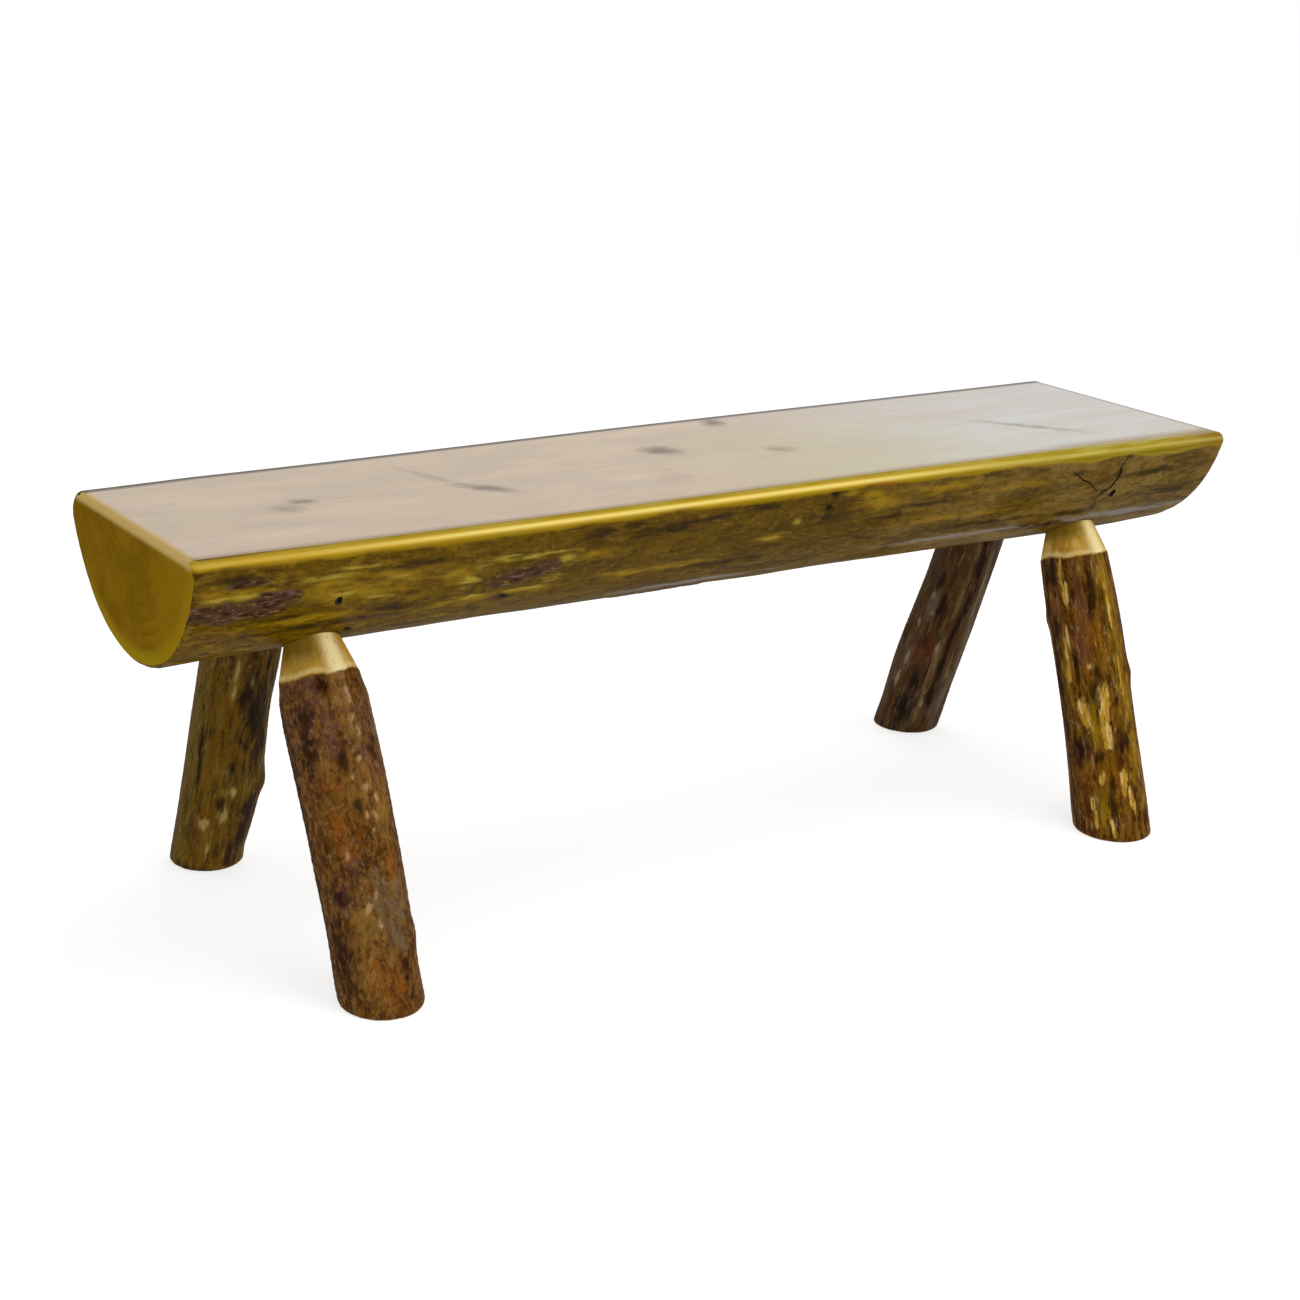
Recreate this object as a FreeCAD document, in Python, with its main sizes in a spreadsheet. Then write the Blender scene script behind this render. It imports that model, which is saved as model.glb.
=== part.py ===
import FreeCAD, Part

import os

import Sketcher

# Rustic half-log bench.
# The seat is one log, sawn flat a little below its centre line, with the long edges rounded over.
# Four round log legs splay sideways. Each ends in a long tapered shoulder and a round tenon, which
# sits in a blind mortise bored up into the log's underside. The mouth of the mortise is tapered
# like the shoulder. A long trim screw, driven square to the leg from the log's outer side, crosses
# the mortise and locks the tenon. Its head is sunk under the log's surface.
# Frame: X runs along the bench, the front is at -Y, Z is up, and the floor under the middle of the
# bench is the origin. Lengths are in millimetres and angles in degrees.

# Driving dimensions: (alias, value, what it measures)
DIMENSIONS = (
    ("seat_length", 1219.2, "length of the log, cut square at both ends"),
    ("seat_height", 431.8, "floor to the planed face"),
    ("log_radius", 166.0, "mean radius of the seat log"),
    ("face_drop", 34.0, "how far the planed face lies below the centre line of the log"),
    ("edge_round", 15.0, "round-over along the two long edges of the planed face"),
    ("end_round", 5.0, "sanded rounding of the cut ends"),
    ("saw_overrun", 10.0, "how far every cut runs past the wood it removes"),
    ("left_inset", 146.3, "left end of the log to the middle of the left legs, at its underside"),
    ("right_inset", 141.5, "right end of the log to the middle of the right legs, at its underside"),
    ("leg_stance", 75.0, "middle of the bench to the middle of a leg, at the log's underside"),
    ("front_left_splay_angle", 22.4, "sideways tilt of this leg"),
    ("front_right_splay_angle", 21.1, "sideways tilt of this leg"),
    ("rear_left_splay_angle", 22.0, "sideways tilt of this leg"),
    ("rear_right_splay_angle", 22.1, "sideways tilt of this leg"),
    ("front_left_lean_angle", -0.6, "lengthwise tilt of this leg, towards +X at the top"),
    ("front_right_lean_angle", 2.6, "lengthwise tilt of this leg, towards +X at the top"),
    ("rear_left_lean_angle", 0.0, "lengthwise tilt of this leg, towards +X at the top"),
    ("rear_right_lean_angle", -0.1, "lengthwise tilt of this leg, towards +X at the top"),
    ("leg_radius", 40.0, "mean radius of a leg"),
    ("shoulder_angle", 18.2, "slope of the tapered shoulder to the leg's axis, set by the cutter"),
    ("foot_round", 3.0, "rounding of the foot's sawn edge"),
    ("socket_depth", 6.0, "how deep the tapered shoulder sits in the mouth of the mortise"),
    ("tenon_radius", 25.4, "radius of the round tenon"),
    ("tenon_length", 72.0, "length of the round tenon"),
    ("tenon_chamfer", 3.0, "chamfer on the tenon's end"),
    ("tenon_gap", 0.15, "glue gap round the tenon and the shoulder"),
    ("mortise_end_gap", 2.0, "space left above the tenon's end"),
    ("screw_place_share", 0.31, "how far up the tenon the lock screw crosses it, as a share of its length"),
    ("screw_sink", 2.5, "how deep the screw's head lies under the log's surface"),
    ("screw_length", 90.0, "length of the lock screw, head included"),
    ("screw_radius", 2.3, "radius of the screw over its thread"),
    ("screw_tip", 7.0, "length of the screw's point"),
    ("screw_tip_radius", 0.3, "blunt end of the screw's point"),
    ("head_radius", 3.6, "radius of the screw's head"),
    ("head_rim", 1.0, "straight rim of the screw's head"),
    ("head_taper", 2.4, "height of the cone under the screw's head"),
    ("drive_width", 2.6, "width of the square drive recess"),
    ("drive_depth", 1.8, "depth of the square drive recess"),
    ("screw_gap", 0.1, "clearance round the screw and its head"),
)

# The log tapers and wanders a little, as a grown trunk does.
# Each station: (place as a share of half the log's length before it is cut, radius, shift across
# and shift up, all three as shares of log_radius).
LOG_STATION_SHARES = (
    (-1.00, 1.008, 0.030, -0.018),
    (-0.70, 0.994, 0.005, 0.000),
    (-0.35, 1.003, 0.005, 0.012),
    (0.10, 1.010, 0.025, 0.016),
    (0.55, 1.016, 0.025, 0.014),
    (1.00, 1.048, 0.018, 0.062),
)

# Each leg bows and swells in its own way, up to the end of its bark, where the shoulder begins.
# Each station: (place as a share of the way from the floor up to the end of the bark, radius,
# shift lengthwise and shift sideways, all three as shares of leg_radius).
LEG_STATION_SHARES = {
    "front_left": (
        (-0.13, 1.020, 0.050, 0.000),
        (0.18, 1.020, 0.085, 0.010),
        (0.42, 1.035, 0.125, 0.020),
        (0.68, 1.045, 0.085, 0.015),
        (0.88, 1.045, 0.030, 0.005),
        (1.00, 1.020, 0.000, 0.000),
    ),
    "front_right": (
        (-0.13, 1.080, 0.000, 0.000),
        (0.14, 1.035, 0.045, 0.010),
        (0.38, 0.995, 0.095, 0.020),
        (0.62, 1.000, 0.085, 0.010),
        (0.82, 0.995, 0.030, 0.000),
        (1.00, 0.940, 0.000, 0.000),
    ),
    "rear_left": (
        (-0.13, 0.985, 0.000, 0.000),
        (0.22, 1.000, 0.045, 0.010),
        (0.38, 1.020, 0.070, 0.015),
        (0.60, 0.970, 0.010, 0.010),
        (0.86, 0.960, 0.000, 0.000),
        (1.00, 0.950, 0.000, 0.000),
    ),
    "rear_right": (
        (-0.13, 0.955, 0.010, 0.000),
        (0.20, 0.975, -0.010, -0.010),
        (0.34, 0.975, -0.035, -0.015),
        (0.62, 0.940, 0.015, -0.005),
        (0.86, 0.925, 0.015, 0.000),
        (1.00, 0.915, 0.000, 0.000),
    ),
}

# Leg name: (end of the bench, side along X, side along Y); the front is at -Y
LEGS = {
    "front_left": ("left", -1, -1),
    "front_right": ("right", 1, -1),
    "rear_left": ("left", -1, 1),
    "rear_right": ("right", 1, 1),
}

# Height of the log's centre line over the floor, and over the mouths of the mortises
LOG_CENTRE = "(sizes.seat_height + sizes.face_drop)"
MOUTH_DROP = "sqrt(sizes.log_radius ^ 2 - sizes.leg_stance ^ 2)"

# Root of a tenon to its lock screw, along the leg
SCREW_HEIGHT = "sizes.screw_place_share * sizes.tenon_length"

TOUCH = 0.001  # two coordinates closer than this are the same place


def place(x="0", y="0", z="0", turn="rotation(0; 0; 0)"):
    """Expression for a placement."""
    return f"placement(vector({x}; {y}; {z}); {turn})"


def leg_turn(leg):
    """Expression for the way a leg is tilted."""
    side_y = LEGS[leg][2]
    return f"rotation(0; sizes.{leg}_lean_angle; {side_y} * sizes.{leg}_splay_angle)"


def leg_frame(leg):
    """Expression for a leg's own frame: its origin is the root of the tenon, and Z runs up the leg."""
    end, side_x, side_y = LEGS[leg]
    mouth = place(
        f"{side_x} * (sizes.seat_length / 2 - sizes.{end}_inset)",
        f"{side_y} * sizes.leg_stance",
        f"{LOG_CENTRE} - {MOUTH_DROP}",
        leg_turn(leg),
    )
    return f"{mouth} * {place(z='sizes.socket_depth')}"


def leg_reach(leg):
    """Expression for the distance down a leg's axis from the root of its tenon to the floor."""
    level = f"(cos(sizes.{leg}_lean_angle) * cos(sizes.{leg}_splay_angle))"
    return f"(({LOG_CENTRE} - {MOUTH_DROP}) / {level} + sizes.socket_depth)"


def bark_end(leg):
    """Expressions for a leg's radius where its bark ends, and for the length of its tapered shoulder."""
    radius = f"{LEG_STATION_SHARES[leg][-1][1]} * sizes.leg_radius"
    return radius, f"({radius} - sizes.tenon_radius) / tan(sizes.shoulder_angle)"


def screw_frame(leg):
    """Expression, in the leg's frame, for its lock screw, whose Z runs from its head's face to its point."""
    side_y = LEGS[leg][2]
    splay = f"sizes.{leg}_splay_angle"
    centre_out = f"({MOUTH_DROP} * sin({splay}) - sizes.leg_stance * cos({splay}))"
    centre_up = f"({MOUTH_DROP} * cos({splay}) + sizes.leg_stance * sin({splay}))"
    below_centre = f"({centre_up} - sizes.socket_depth - {SCREW_HEIGHT})"
    surface = f"({centre_out} + sqrt(sizes.log_radius ^ 2 - {below_centre} ^ 2))"
    quarter_turn = f"rotation(0; 0; {side_y} * 90)"
    return place("0", f"{side_y} * ({surface} - sizes.screw_sink)", SCREW_HEIGHT, quarter_turn)


def attach(feature, body, role, offset):
    """Ties a sketch or primitive to one of its own body's origin planes; offset is an expression."""
    plane = next(p for p in body.Origin.OriginFeatures if p.Role == role)
    feature.AttachmentSupport = (plane, [""])
    feature.MapMode = "FlatFace"
    feature.setExpression("AttachmentOffset", offset)


def circle_sketch(body, name, role, offset, radius):
    """A circle round the sketch's origin; radius is an expression."""
    sketch = body.newObject("Sketcher::SketchObject", name)
    attach(sketch, body, role, offset)
    sketch.addGeometry(Part.Circle(FreeCAD.Vector(), FreeCAD.Vector(0, 0, 1), 1), False)
    sketch.addConstraint(Sketcher.Constraint("Coincident", 0, 3, -1, 1))
    size = sketch.addConstraint(Sketcher.Constraint("Radius", 0, 1))
    sketch.renameConstraint(size, "radius")
    sketch.setExpression("Constraints.radius", radius)
    return sketch


def rectangle_sketch(body, name, role, offset, width, depth):
    """A rectangle centred on the sketch's origin; width and depth are expressions."""
    sketch = body.newObject("Sketcher::SketchObject", name)
    attach(sketch, body, role, offset)
    corners = [FreeCAD.Vector(x, y, 0) for x, y in ((-1, -1), (1, -1), (1, 1), (-1, 1))]
    for line in range(4):
        sketch.addGeometry(Part.LineSegment(corners[line], corners[(line + 1) % 4]), False)
    for line in range(4):
        sketch.addConstraint(Sketcher.Constraint("Coincident", line, 2, (line + 1) % 4, 1))
    for line, direction in enumerate(("Horizontal", "Vertical", "Horizontal", "Vertical")):
        sketch.addConstraint(Sketcher.Constraint(direction, line))
    sketch.addConstraint(Sketcher.Constraint("Symmetric", 0, 1, 1, 2, -1, 1))
    for line, direction, label, size in ((0, "DistanceX", "width", width), (1, "DistanceY", "depth", depth)):
        index = sketch.addConstraint(Sketcher.Constraint(direction, line, 1, line, 2, 2))
        sketch.renameConstraint(index, label)
        sketch.setExpression(f"Constraints.{label}", size)
    return sketch


def primitive(body, kind, name, offset, **sizes):
    """An additive or subtractive cylinder or cone standing on the body's XY plane; sizes are expressions."""
    feature = body.newObject(f"PartDesign::{kind}", name)
    attach(feature, body, "XY_Plane", offset)
    for size, expression in sizes.items():
        feature.setExpression(size, expression)
    return feature


def loft(body, name, sections):
    """A smooth loft through the sketches, in their order."""
    feature = body.newObject("PartDesign::AdditiveLoft", name)
    feature.Profile = sections[0]
    feature.Sections = sections[1:]
    return feature


def pocket(body, name, sketch, length, upward):
    """A pocket along the sketch's normal, up it or down it."""
    feature = body.newObject("PartDesign::Pocket", name)
    feature.Profile = sketch
    feature.setExpression("Length", length)
    feature.Reversed = upward
    return feature


def ease(body, kind, name, size_name, size, chosen):
    """A fillet or chamfer on those edges of the body's last feature that chosen(edge) picks."""
    body.Document.recompute()
    base = body.Tip
    names = [f"Edge{i}" for i, edge in enumerate(base.Shape.Edges, start=1) if chosen(edge)]
    feature = body.newObject(f"PartDesign::{kind}", name)
    feature.Base = (base, names)
    feature.setExpression(size_name, size)
    return feature


def make_seat(doc, sheet):
    """The seat: a log, sawn flat, rounded over, cut to length, then bored for the legs and their screws."""
    body = doc.addObject("PartDesign::Body", "half_log_seat")
    sections = []
    for number, (along, radius, across, up) in enumerate(LOG_STATION_SHARES):
        offset = place(
            f"{across} * sizes.log_radius",
            f"{LOG_CENTRE} + {up} * sizes.log_radius",
            f"{along} * (sizes.seat_length / 2 + sizes.saw_overrun)",
        )
        name = f"log_section_{number}"
        sections.append(circle_sketch(body, name, "YZ_Plane", offset, f"{radius} * sizes.log_radius"))
    loft(body, "whole_log", sections)

    saw_line = rectangle_sketch(
        body,
        "saw_line",
        "XY_Plane",
        place(z="sizes.seat_height"),
        "sizes.seat_length + 4 * sizes.saw_overrun",
        "3 * sizes.log_radius",
    )
    pocket(body, "planed_face", saw_line, "2 * sizes.log_radius", True)

    def long_edge(edge):
        box = edge.BoundBox
        on_face = abs(box.ZMin - sheet.seat_height) < TOUCH and box.ZLength < TOUCH
        return on_face and box.XLength > sheet.seat_length / 2

    def end_edge(edge):
        box = edge.BoundBox
        at_end = abs(abs(box.Center.x) - sheet.seat_length / 2) < TOUCH
        return at_end and box.XLength < TOUCH

    ease(body, "Fillet", "long_edges", "Radius", "sizes.edge_round", long_edge)
    for end, side_x in (("left", -1), ("right", 1)):
        end_line = rectangle_sketch(
            body,
            f"{end}_end_line",
            "YZ_Plane",
            place("0", LOG_CENTRE, f"{side_x} * sizes.seat_length / 2"),
            "3 * sizes.log_radius",
            "3 * sizes.log_radius",
        )
        pocket(body, f"{end}_end", end_line, "2 * sizes.saw_overrun", side_x > 0)
    ease(body, "Fillet", "end_edges", "Radius", "sizes.end_round", end_edge)
    for leg in LEGS:
        bore_mortise(body, leg)
        screw = f"{leg_frame(leg)} * {screw_frame(leg)}"
        bore_screw_hole(body, f"screw_hole_{leg}", screw)
        sink_screw_head(body, leg, screw)
    return body


def bore_mortise(body, leg):
    """The blind mortise for one tenon, with its mouth tapered like the shoulder that sits in it."""
    frame = leg_frame(leg)
    primitive(
        body,
        "SubtractiveCylinder",
        f"mortise_{leg}",
        frame,
        Radius="sizes.tenon_radius + sizes.tenon_gap",
        Height="sizes.tenon_length + sizes.mortise_end_gap",
    )
    depth = "(sizes.socket_depth + sizes.saw_overrun)"
    primitive(
        body,
        "SubtractiveCone",
        f"socket_{leg}",
        f"{frame} * {place(z=f'-{depth}')}",
        Radius1=f"sizes.tenon_radius + sizes.tenon_gap + {depth} * tan(sizes.shoulder_angle)",
        Radius2="sizes.tenon_radius + sizes.tenon_gap",
        Height=depth,
    )


def bore_screw_hole(body, name, frame):
    """Clears the lock screw's shank."""
    primitive(
        body,
        "SubtractiveCylinder",
        name,
        frame,
        Radius="sizes.screw_radius + sizes.screw_gap",
        Height="sizes.screw_length + sizes.screw_gap",
    )


def sink_screw_head(body, leg, frame):
    """Clears the lock screw's head, and the way in to it from outside the log."""
    primitive(
        body,
        "SubtractiveCylinder",
        f"head_bore_{leg}",
        f"{frame} * {place(z='-(sizes.screw_sink + sizes.saw_overrun)')}",
        Radius="sizes.head_radius + sizes.screw_gap",
        Height="sizes.screw_sink + sizes.saw_overrun + sizes.head_rim + sizes.screw_gap",
    )
    primitive(
        body,
        "SubtractiveCone",
        f"head_seat_{leg}",
        f"{frame} * {place(z='sizes.head_rim + sizes.screw_gap')}",
        Radius1="sizes.head_radius + sizes.screw_gap",
        Radius2="sizes.screw_radius + sizes.screw_gap",
        Height="sizes.head_taper",
    )


def make_leg(doc, sheet, leg):
    """One leg in its own frame: a grown log, a tapered shoulder and a tenon, sawn level at the floor."""
    body = doc.addObject("PartDesign::Body", f"leg_{leg}")
    body.setExpression("Placement", leg_frame(leg))
    reach = leg_reach(leg)
    bark_radius, shoulder_length = bark_end(leg)

    sections = []
    for number, (along, radius, lengthwise, sideways) in enumerate(LEG_STATION_SHARES[leg]):
        offset = place(
            f"{lengthwise} * sizes.leg_radius",
            f"{sideways} * sizes.leg_radius",
            f"{along} * ({reach} - {shoulder_length}) - {reach}",
        )
        name = f"leg_section_{number}"
        sections.append(circle_sketch(body, name, "XY_Plane", offset, f"{radius} * sizes.leg_radius"))
    loft(body, "grown_log", sections)

    primitive(
        body,
        "AdditiveCone",
        "shoulder",
        place(z=f"-{shoulder_length}"),
        Radius1=bark_radius,
        Radius2="sizes.tenon_radius",
        Height=shoulder_length,
    )
    tenon = {"Radius": "sizes.tenon_radius", "Height": "sizes.tenon_length"}
    primitive(body, "AdditiveCylinder", "tenon", place(), **tenon)

    def tenon_rim(edge):
        return abs(edge.BoundBox.ZMin - sheet.tenon_length) < TOUCH

    ease(body, "Chamfer", "tenon_end", "Size", "sizes.tenon_chamfer", tenon_rim)

    floor = place(z=f"-{reach}", turn=f"{leg_turn(leg)}^-1")
    floor_line = circle_sketch(body, "floor_line", "XY_Plane", floor, "2 * sizes.leg_radius")
    pocket(body, "level_foot", floor_line, "2 * sizes.leg_radius", False)

    def foot_edge(edge):
        placed = edge.copy()
        placed.Placement = body.Placement.multiply(placed.Placement)
        box = placed.BoundBox
        return abs(box.ZMin) < TOUCH and abs(box.ZMax) < TOUCH

    ease(body, "Fillet", "foot_edge", "Radius", "sizes.foot_round", foot_edge)
    bore_screw_hole(body, "screw_hole", screw_frame(leg))
    return body


def make_screw(doc, leg):
    """One lock screw along its own Z axis, with the outer face of its head at the origin."""
    body = doc.addObject("PartDesign::Body", f"lock_screw_{leg}")
    body.setExpression("Placement", f"{leg_frame(leg)} * {screw_frame(leg)}")
    primitive(body, "AdditiveCylinder", "head", place(), Radius="sizes.head_radius", Height="sizes.head_rim")
    primitive(
        body,
        "AdditiveCone",
        "head_cone",
        place(z="sizes.head_rim"),
        Radius1="sizes.head_radius",
        Radius2="sizes.screw_radius",
        Height="sizes.head_taper",
    )
    primitive(
        body,
        "AdditiveCylinder",
        "shank",
        place(z="sizes.head_rim + sizes.head_taper"),
        Radius="sizes.screw_radius",
        Height="sizes.screw_length - sizes.head_rim - sizes.head_taper - sizes.screw_tip",
    )
    primitive(
        body,
        "AdditiveCone",
        "tip",
        place(z="sizes.screw_length - sizes.screw_tip"),
        Radius1="sizes.screw_radius",
        Radius2="sizes.screw_tip_radius",
        Height="sizes.screw_tip",
    )
    width = "sizes.drive_width"
    drive_outline = rectangle_sketch(body, "drive_outline", "XY_Plane", place(), width, width)
    pocket(body, "drive_recess", drive_outline, "sizes.drive_depth", True)
    return body


def check(doc, bodies):
    """Stops if any object failed to build, or any sub-part is not one closed, valid solid."""
    for item in doc.Objects:
        if "Invalid" in item.State or "Error" in item.State:
            raise RuntimeError(f"{item.Label} failed: {item.State}")
    for body in bodies:
        shape = body.Shape
        if shape.isNull() or not shape.isValid() or len(shape.Solids) != 1:
            raise RuntimeError(f"{body.Label} is not one valid solid")


def main():
    doc = FreeCAD.newDocument("half_log_bench")
    sheet = doc.addObject("Spreadsheet::Sheet", "sizes")
    for row, (alias, value, meaning) in enumerate(DIMENSIONS, start=1):
        sheet.set(f"A{row}", str(value))
        sheet.setAlias(f"A{row}", alias)
        sheet.set(f"B{row}", meaning)
    doc.recompute()

    bodies = [make_seat(doc, sheet)]
    bodies += [make_leg(doc, sheet, leg) for leg in LEGS]
    bodies += [make_screw(doc, leg) for leg in LEGS]
    doc.recompute()
    check(doc, bodies)
    os.makedirs("parts", exist_ok=True)
    for body in bodies:
        body.Shape.exportStep(f"parts/{body.Label}.step")
        print(f"{body.Label}: {len(body.Shape.Faces)} faces, volume {body.Shape.Volume:.0f} mm3")


main()
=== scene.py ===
import math

import bpy
import numpy as np
from mathutils import Matrix, Vector, noise
from mathutils.bvhtree import BVHTree


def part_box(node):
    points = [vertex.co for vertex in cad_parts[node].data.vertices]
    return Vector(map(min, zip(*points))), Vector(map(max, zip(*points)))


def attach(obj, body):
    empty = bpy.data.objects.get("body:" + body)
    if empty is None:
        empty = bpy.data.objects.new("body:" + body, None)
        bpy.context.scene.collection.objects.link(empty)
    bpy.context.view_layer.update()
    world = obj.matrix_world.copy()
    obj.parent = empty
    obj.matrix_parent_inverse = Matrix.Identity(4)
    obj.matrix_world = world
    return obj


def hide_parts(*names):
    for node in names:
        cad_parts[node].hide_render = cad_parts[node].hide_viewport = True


# Rustic half-log bench.
# The seat is one pine log, skip-peeled with a drawknife, sawn flat, planed and lacquered. The legs are
# smaller logs that keep most of their inner bark, with shoulders and tenons turned down to bare wood.
# Shapes are worked out in millimetres along the frame's axes, and made in metres.

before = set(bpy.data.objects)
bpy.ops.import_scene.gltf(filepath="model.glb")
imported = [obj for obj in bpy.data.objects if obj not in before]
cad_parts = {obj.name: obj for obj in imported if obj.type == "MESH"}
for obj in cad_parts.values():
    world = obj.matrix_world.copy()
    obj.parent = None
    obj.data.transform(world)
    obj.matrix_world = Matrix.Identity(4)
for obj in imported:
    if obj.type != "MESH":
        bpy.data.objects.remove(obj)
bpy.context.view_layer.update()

MM = 0.001  # a millimetre in metres
UP = Vector((0, 0, 1))
SEED_STEP = np.array((17.3, 29.9, 41.7))  # moves a random pattern to a fresh part of itself
ROUNDING_TURNS = np.radians((0, 22.5, 45, 67.5))  # of the rows over a sawn end's rounded edge
SHARP_TURN = math.radians(38)  # faces that turn more than this meet in a sharp edge

# Seat, in mm
SEAT_STEP = 3.1  # between columns along the log
FACE_ROWS = 20  # across the planed face, and more beside its long edges:
FACE_EDGE_ROWS = (1.5, 3.5, 6.5, 11)  # how far in from each long edge they lie
SKIN_ROWS = 152  # round the log's skin
ROUND_ROWS = 15  # over each rounded edge
CAP_RINGS = 14  # from the edge of a sawn end to its middle
END_ROUND = 6.0  # sanded rounding of the sawn ends
BAND_DEPTH = 10.0  # how far below the planed face the clean sanded band reaches
# Stations of the sanded long edges: (place as a share of half the length, front radius, rear radius)
EDGE_ROUNDS = ((-1, 18, 24), (-0.8, 15.5, 15), (0, 14.5, 10), (0.6, 14, 10), (0.78, 10.5, 10), (1, 9, 10))
LOG_STATION_SHARES = (0.01, 0.05, 0.17, 0.30, 0.42, 0.55, 0.68, 0.79, 0.95, 0.99)

# Marks on the seat's skin, by kind: bark that the drawknife left, gold and pale places where it cut into
# fresh wood, dark stains, grey weathering with a painted sheen low on the side at the right end, and the
# orange tint under the clean band. Each mark is an oval:
# (place along the bench, degrees round the log from level at the front, half length, half height)
SEAT_MARKS = {
    "bark": (
        (-598, 30, 18, 11), (-570, 31, 32, 15), (-538, 30, 34, 17), (-515, 28, 14, 11), (-560, 20.5, 22, 4),
        (-272, 33, 38, 11), (-248, 31.5, 17, 10), (-290, 37, 28, 6), (-285, 45, 18, 4), (398, 50.5, 34, 6),
        (-420, 46, 30, 3.5), (-480, 150, 64, 13), (-250, 157, 44, 9), (-90, 146, 70, 11),
        (160, 152, 84, 12), (330, 160, 36, 7), (470, 148, 50, 12), (-330, 96, 80, 14), (-60, 74, 60, 9),
        (210, 104, 74, 12), (330, 78, 40, 8),
    ),
    "gold": (
        (-455, 29, 60, 15), (-395, 27.6, 24, 7), (-484, 41, 34, 5), (-322, 44, 32, 6), (-268, 43.4, 28, 5),
        (-345, 29, 16, 9), (-200, 29, 26, 6), (100, 18, 14, 5), (124, 20, 18, 6), (147, 22.7, 26, 8),
        (225, 21, 62, 5), (330, 24, 44, 4), (14, 33.4, 20, 5), (-113, 42, 60, 6), (250, 36, 60, 5),
        (-565, 25, 26, 5), (-590, 22, 16, 4), (-420, 150, 50, 8), (60, 148, 50, 8), (260, 156, 60, 7),
        (-550, 158, 30, 7), (0, 100, 60, 9), (-420, 110, 60, 10), (450, 96, 50, 9),
    ),
    "pale": (
        (-588, 25, 14, 2.5), (-562, 25.5, 13, 3), (-542, 24.5, 10, 3), (-538, 21, 14, 1.8),
        (-480, 22.5, 28, 2.6), (-450, 20, 22, 2.2), (-462, 31, 14, 3), (-425, 34, 12, 3),
        (-405, 26, 10, 2.4), (-332, 33, 9, 7), (-322, 28, 10, 5), (-300, 24.5, 24, 2.4),
        (-258, 25.5, 34, 2.6), (-227, 29, 8, 8), (-234, 38, 10, 5), (-322, 42, 20, 2.6),
        (-262, 42, 20, 2.2), (14, 33.4, 12, 2), (40, 27, 5, 5), (-420, 150, 40, 3), (-160, 160, 40, 3),
        (60, 148, 44, 3), (260, 156, 50, 3), (420, 140, 40, 3), (450, 96, 40, 3),
    ),
    "dark": (
        (-575, 18.3, 26, 3), (-556, 33, 34, 8), (396, 53, 30, 5), (-381, 22.2, 38, 3), (-196, 20, 16, 5),
        (-160, 18.5, 14, 2.5), (-113, 22, 36, 7), (-150, 23.5, 14, 3), (-58, 20, 15, 4), (-8, 19, 22, 3),
        (166, 31, 28, 3), (205, 27, 32, 2.5), (-439, 53, 6, 4), (-285, 44.7, 8, 4), (-401, 41.5, 18, 6),
        (-479, 46.6, 40, 4), (-520, 38.5, 30, 3), (520, 26, 42, 4), (560, 38, 40, 8), (430, 44, 32, 5),
        (515, 17.5, 40, 2.5), (80, 17.3, 6, 6), (76, 25.4, 5, 8), (-40, 44, 60, 4), (300, 43, 50, 4),
        (472, 17, 6, 6), (465, 25, 6, 6), (455, 33, 7, 5), (456, 41.5, 8, 5), (404, 22.5, 12, 4),
        (-300, 142, 60, 5), (90, 158, 40, 4), (380, 150, 50, 5), (-500, 120, 60, 7), (100, 120, 80, 8),
        (520, 110, 50, 8),
    ),
    # grey: weathering, except (515, 50, 100, 8), a painted sheen low on the side at the right end
    "grey": ((515, 50, 100, 8), (290, 51, 90, 4), (-60, 58, 90, 5), (-300, 70, 120, 9), (150, 76, 160, 9)),
    "orange": (
        (-200, 15.5, 70, 3), (150, 15.7, 50, 4), (300, 15.5, 60, 3), (-450, 14.5, 50, 2.5),
        (-330, 15, 40, 2), (420, 14, 40, 3), (-300, 165, 80, 3), (100, 166, 90, 3), (420, 165, 60, 3),
    ),
}
# Knots on the seat's skin: (place along, degrees round the log, radius)
SEAT_KNOTS = (
    (-285, 44.7, 4.5), (79, 17, 5), (76, 23, 4.5), (-439, 53, 4), (-360, 152, 9), (-20, 158, 7),
    (215, 143, 10), (395, 156, 6), (-150, 118, 7), (120, 84, 8),
)
# Drying cracks: (half width, depth, points as place along and degrees round the log)
CRACKS = (
    (1.3, 5, ((478, 13), (472, 17), (464, 22), (466, 27), (463, 30), (454, 34), (450, 37), (458, 44))),
    (0.8, 3, ((388, 19), (398, 21.5), (412, 25), (424, 27), (440, 31), (450, 35))),
    (0.7, 4, ((-300, 163), (-240, 160), (-190, 162), (-110, 157), (-60, 158))),
    (0.6, 3, ((250, 120), (300, 117), (350, 121), (380, 118))),
)
# Knots in the planed face: (place along, place across, half length, half width, degrees turned, darkness)
FACE_KNOTS = (
    (-459, -14, 17, 15, -40, 0.45), (-434, 6, 13, 11, -20, 0.7), (-250, -25, 32, 12, -52, 0.75),
    (-9, 40, 22, 17, -50, 0.85), (117, 132, 20, 13, 70, 0.8), (110, -9, 15, 13, -30, 0.45),
    (428, -38, 62, 8, -52, 0.5), (-279, 44, 52, 7, -74, 0.28), (-57, -60, 24, 30, -40, 0.2),
)

# Legs, in mm
LEG_STEP = 1.45  # between rows and columns of a leg's skin
FOOT_ROUND = 4.0  # worn edge of a foot
FOOT_RINGS = 8  # from the edge of a sole to its middle
SHOULDER_MARGIN = 26.0  # how far below the shoulder the skin's rows turn square to the leg
TENON_CHAMFER = 3.0
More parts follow.
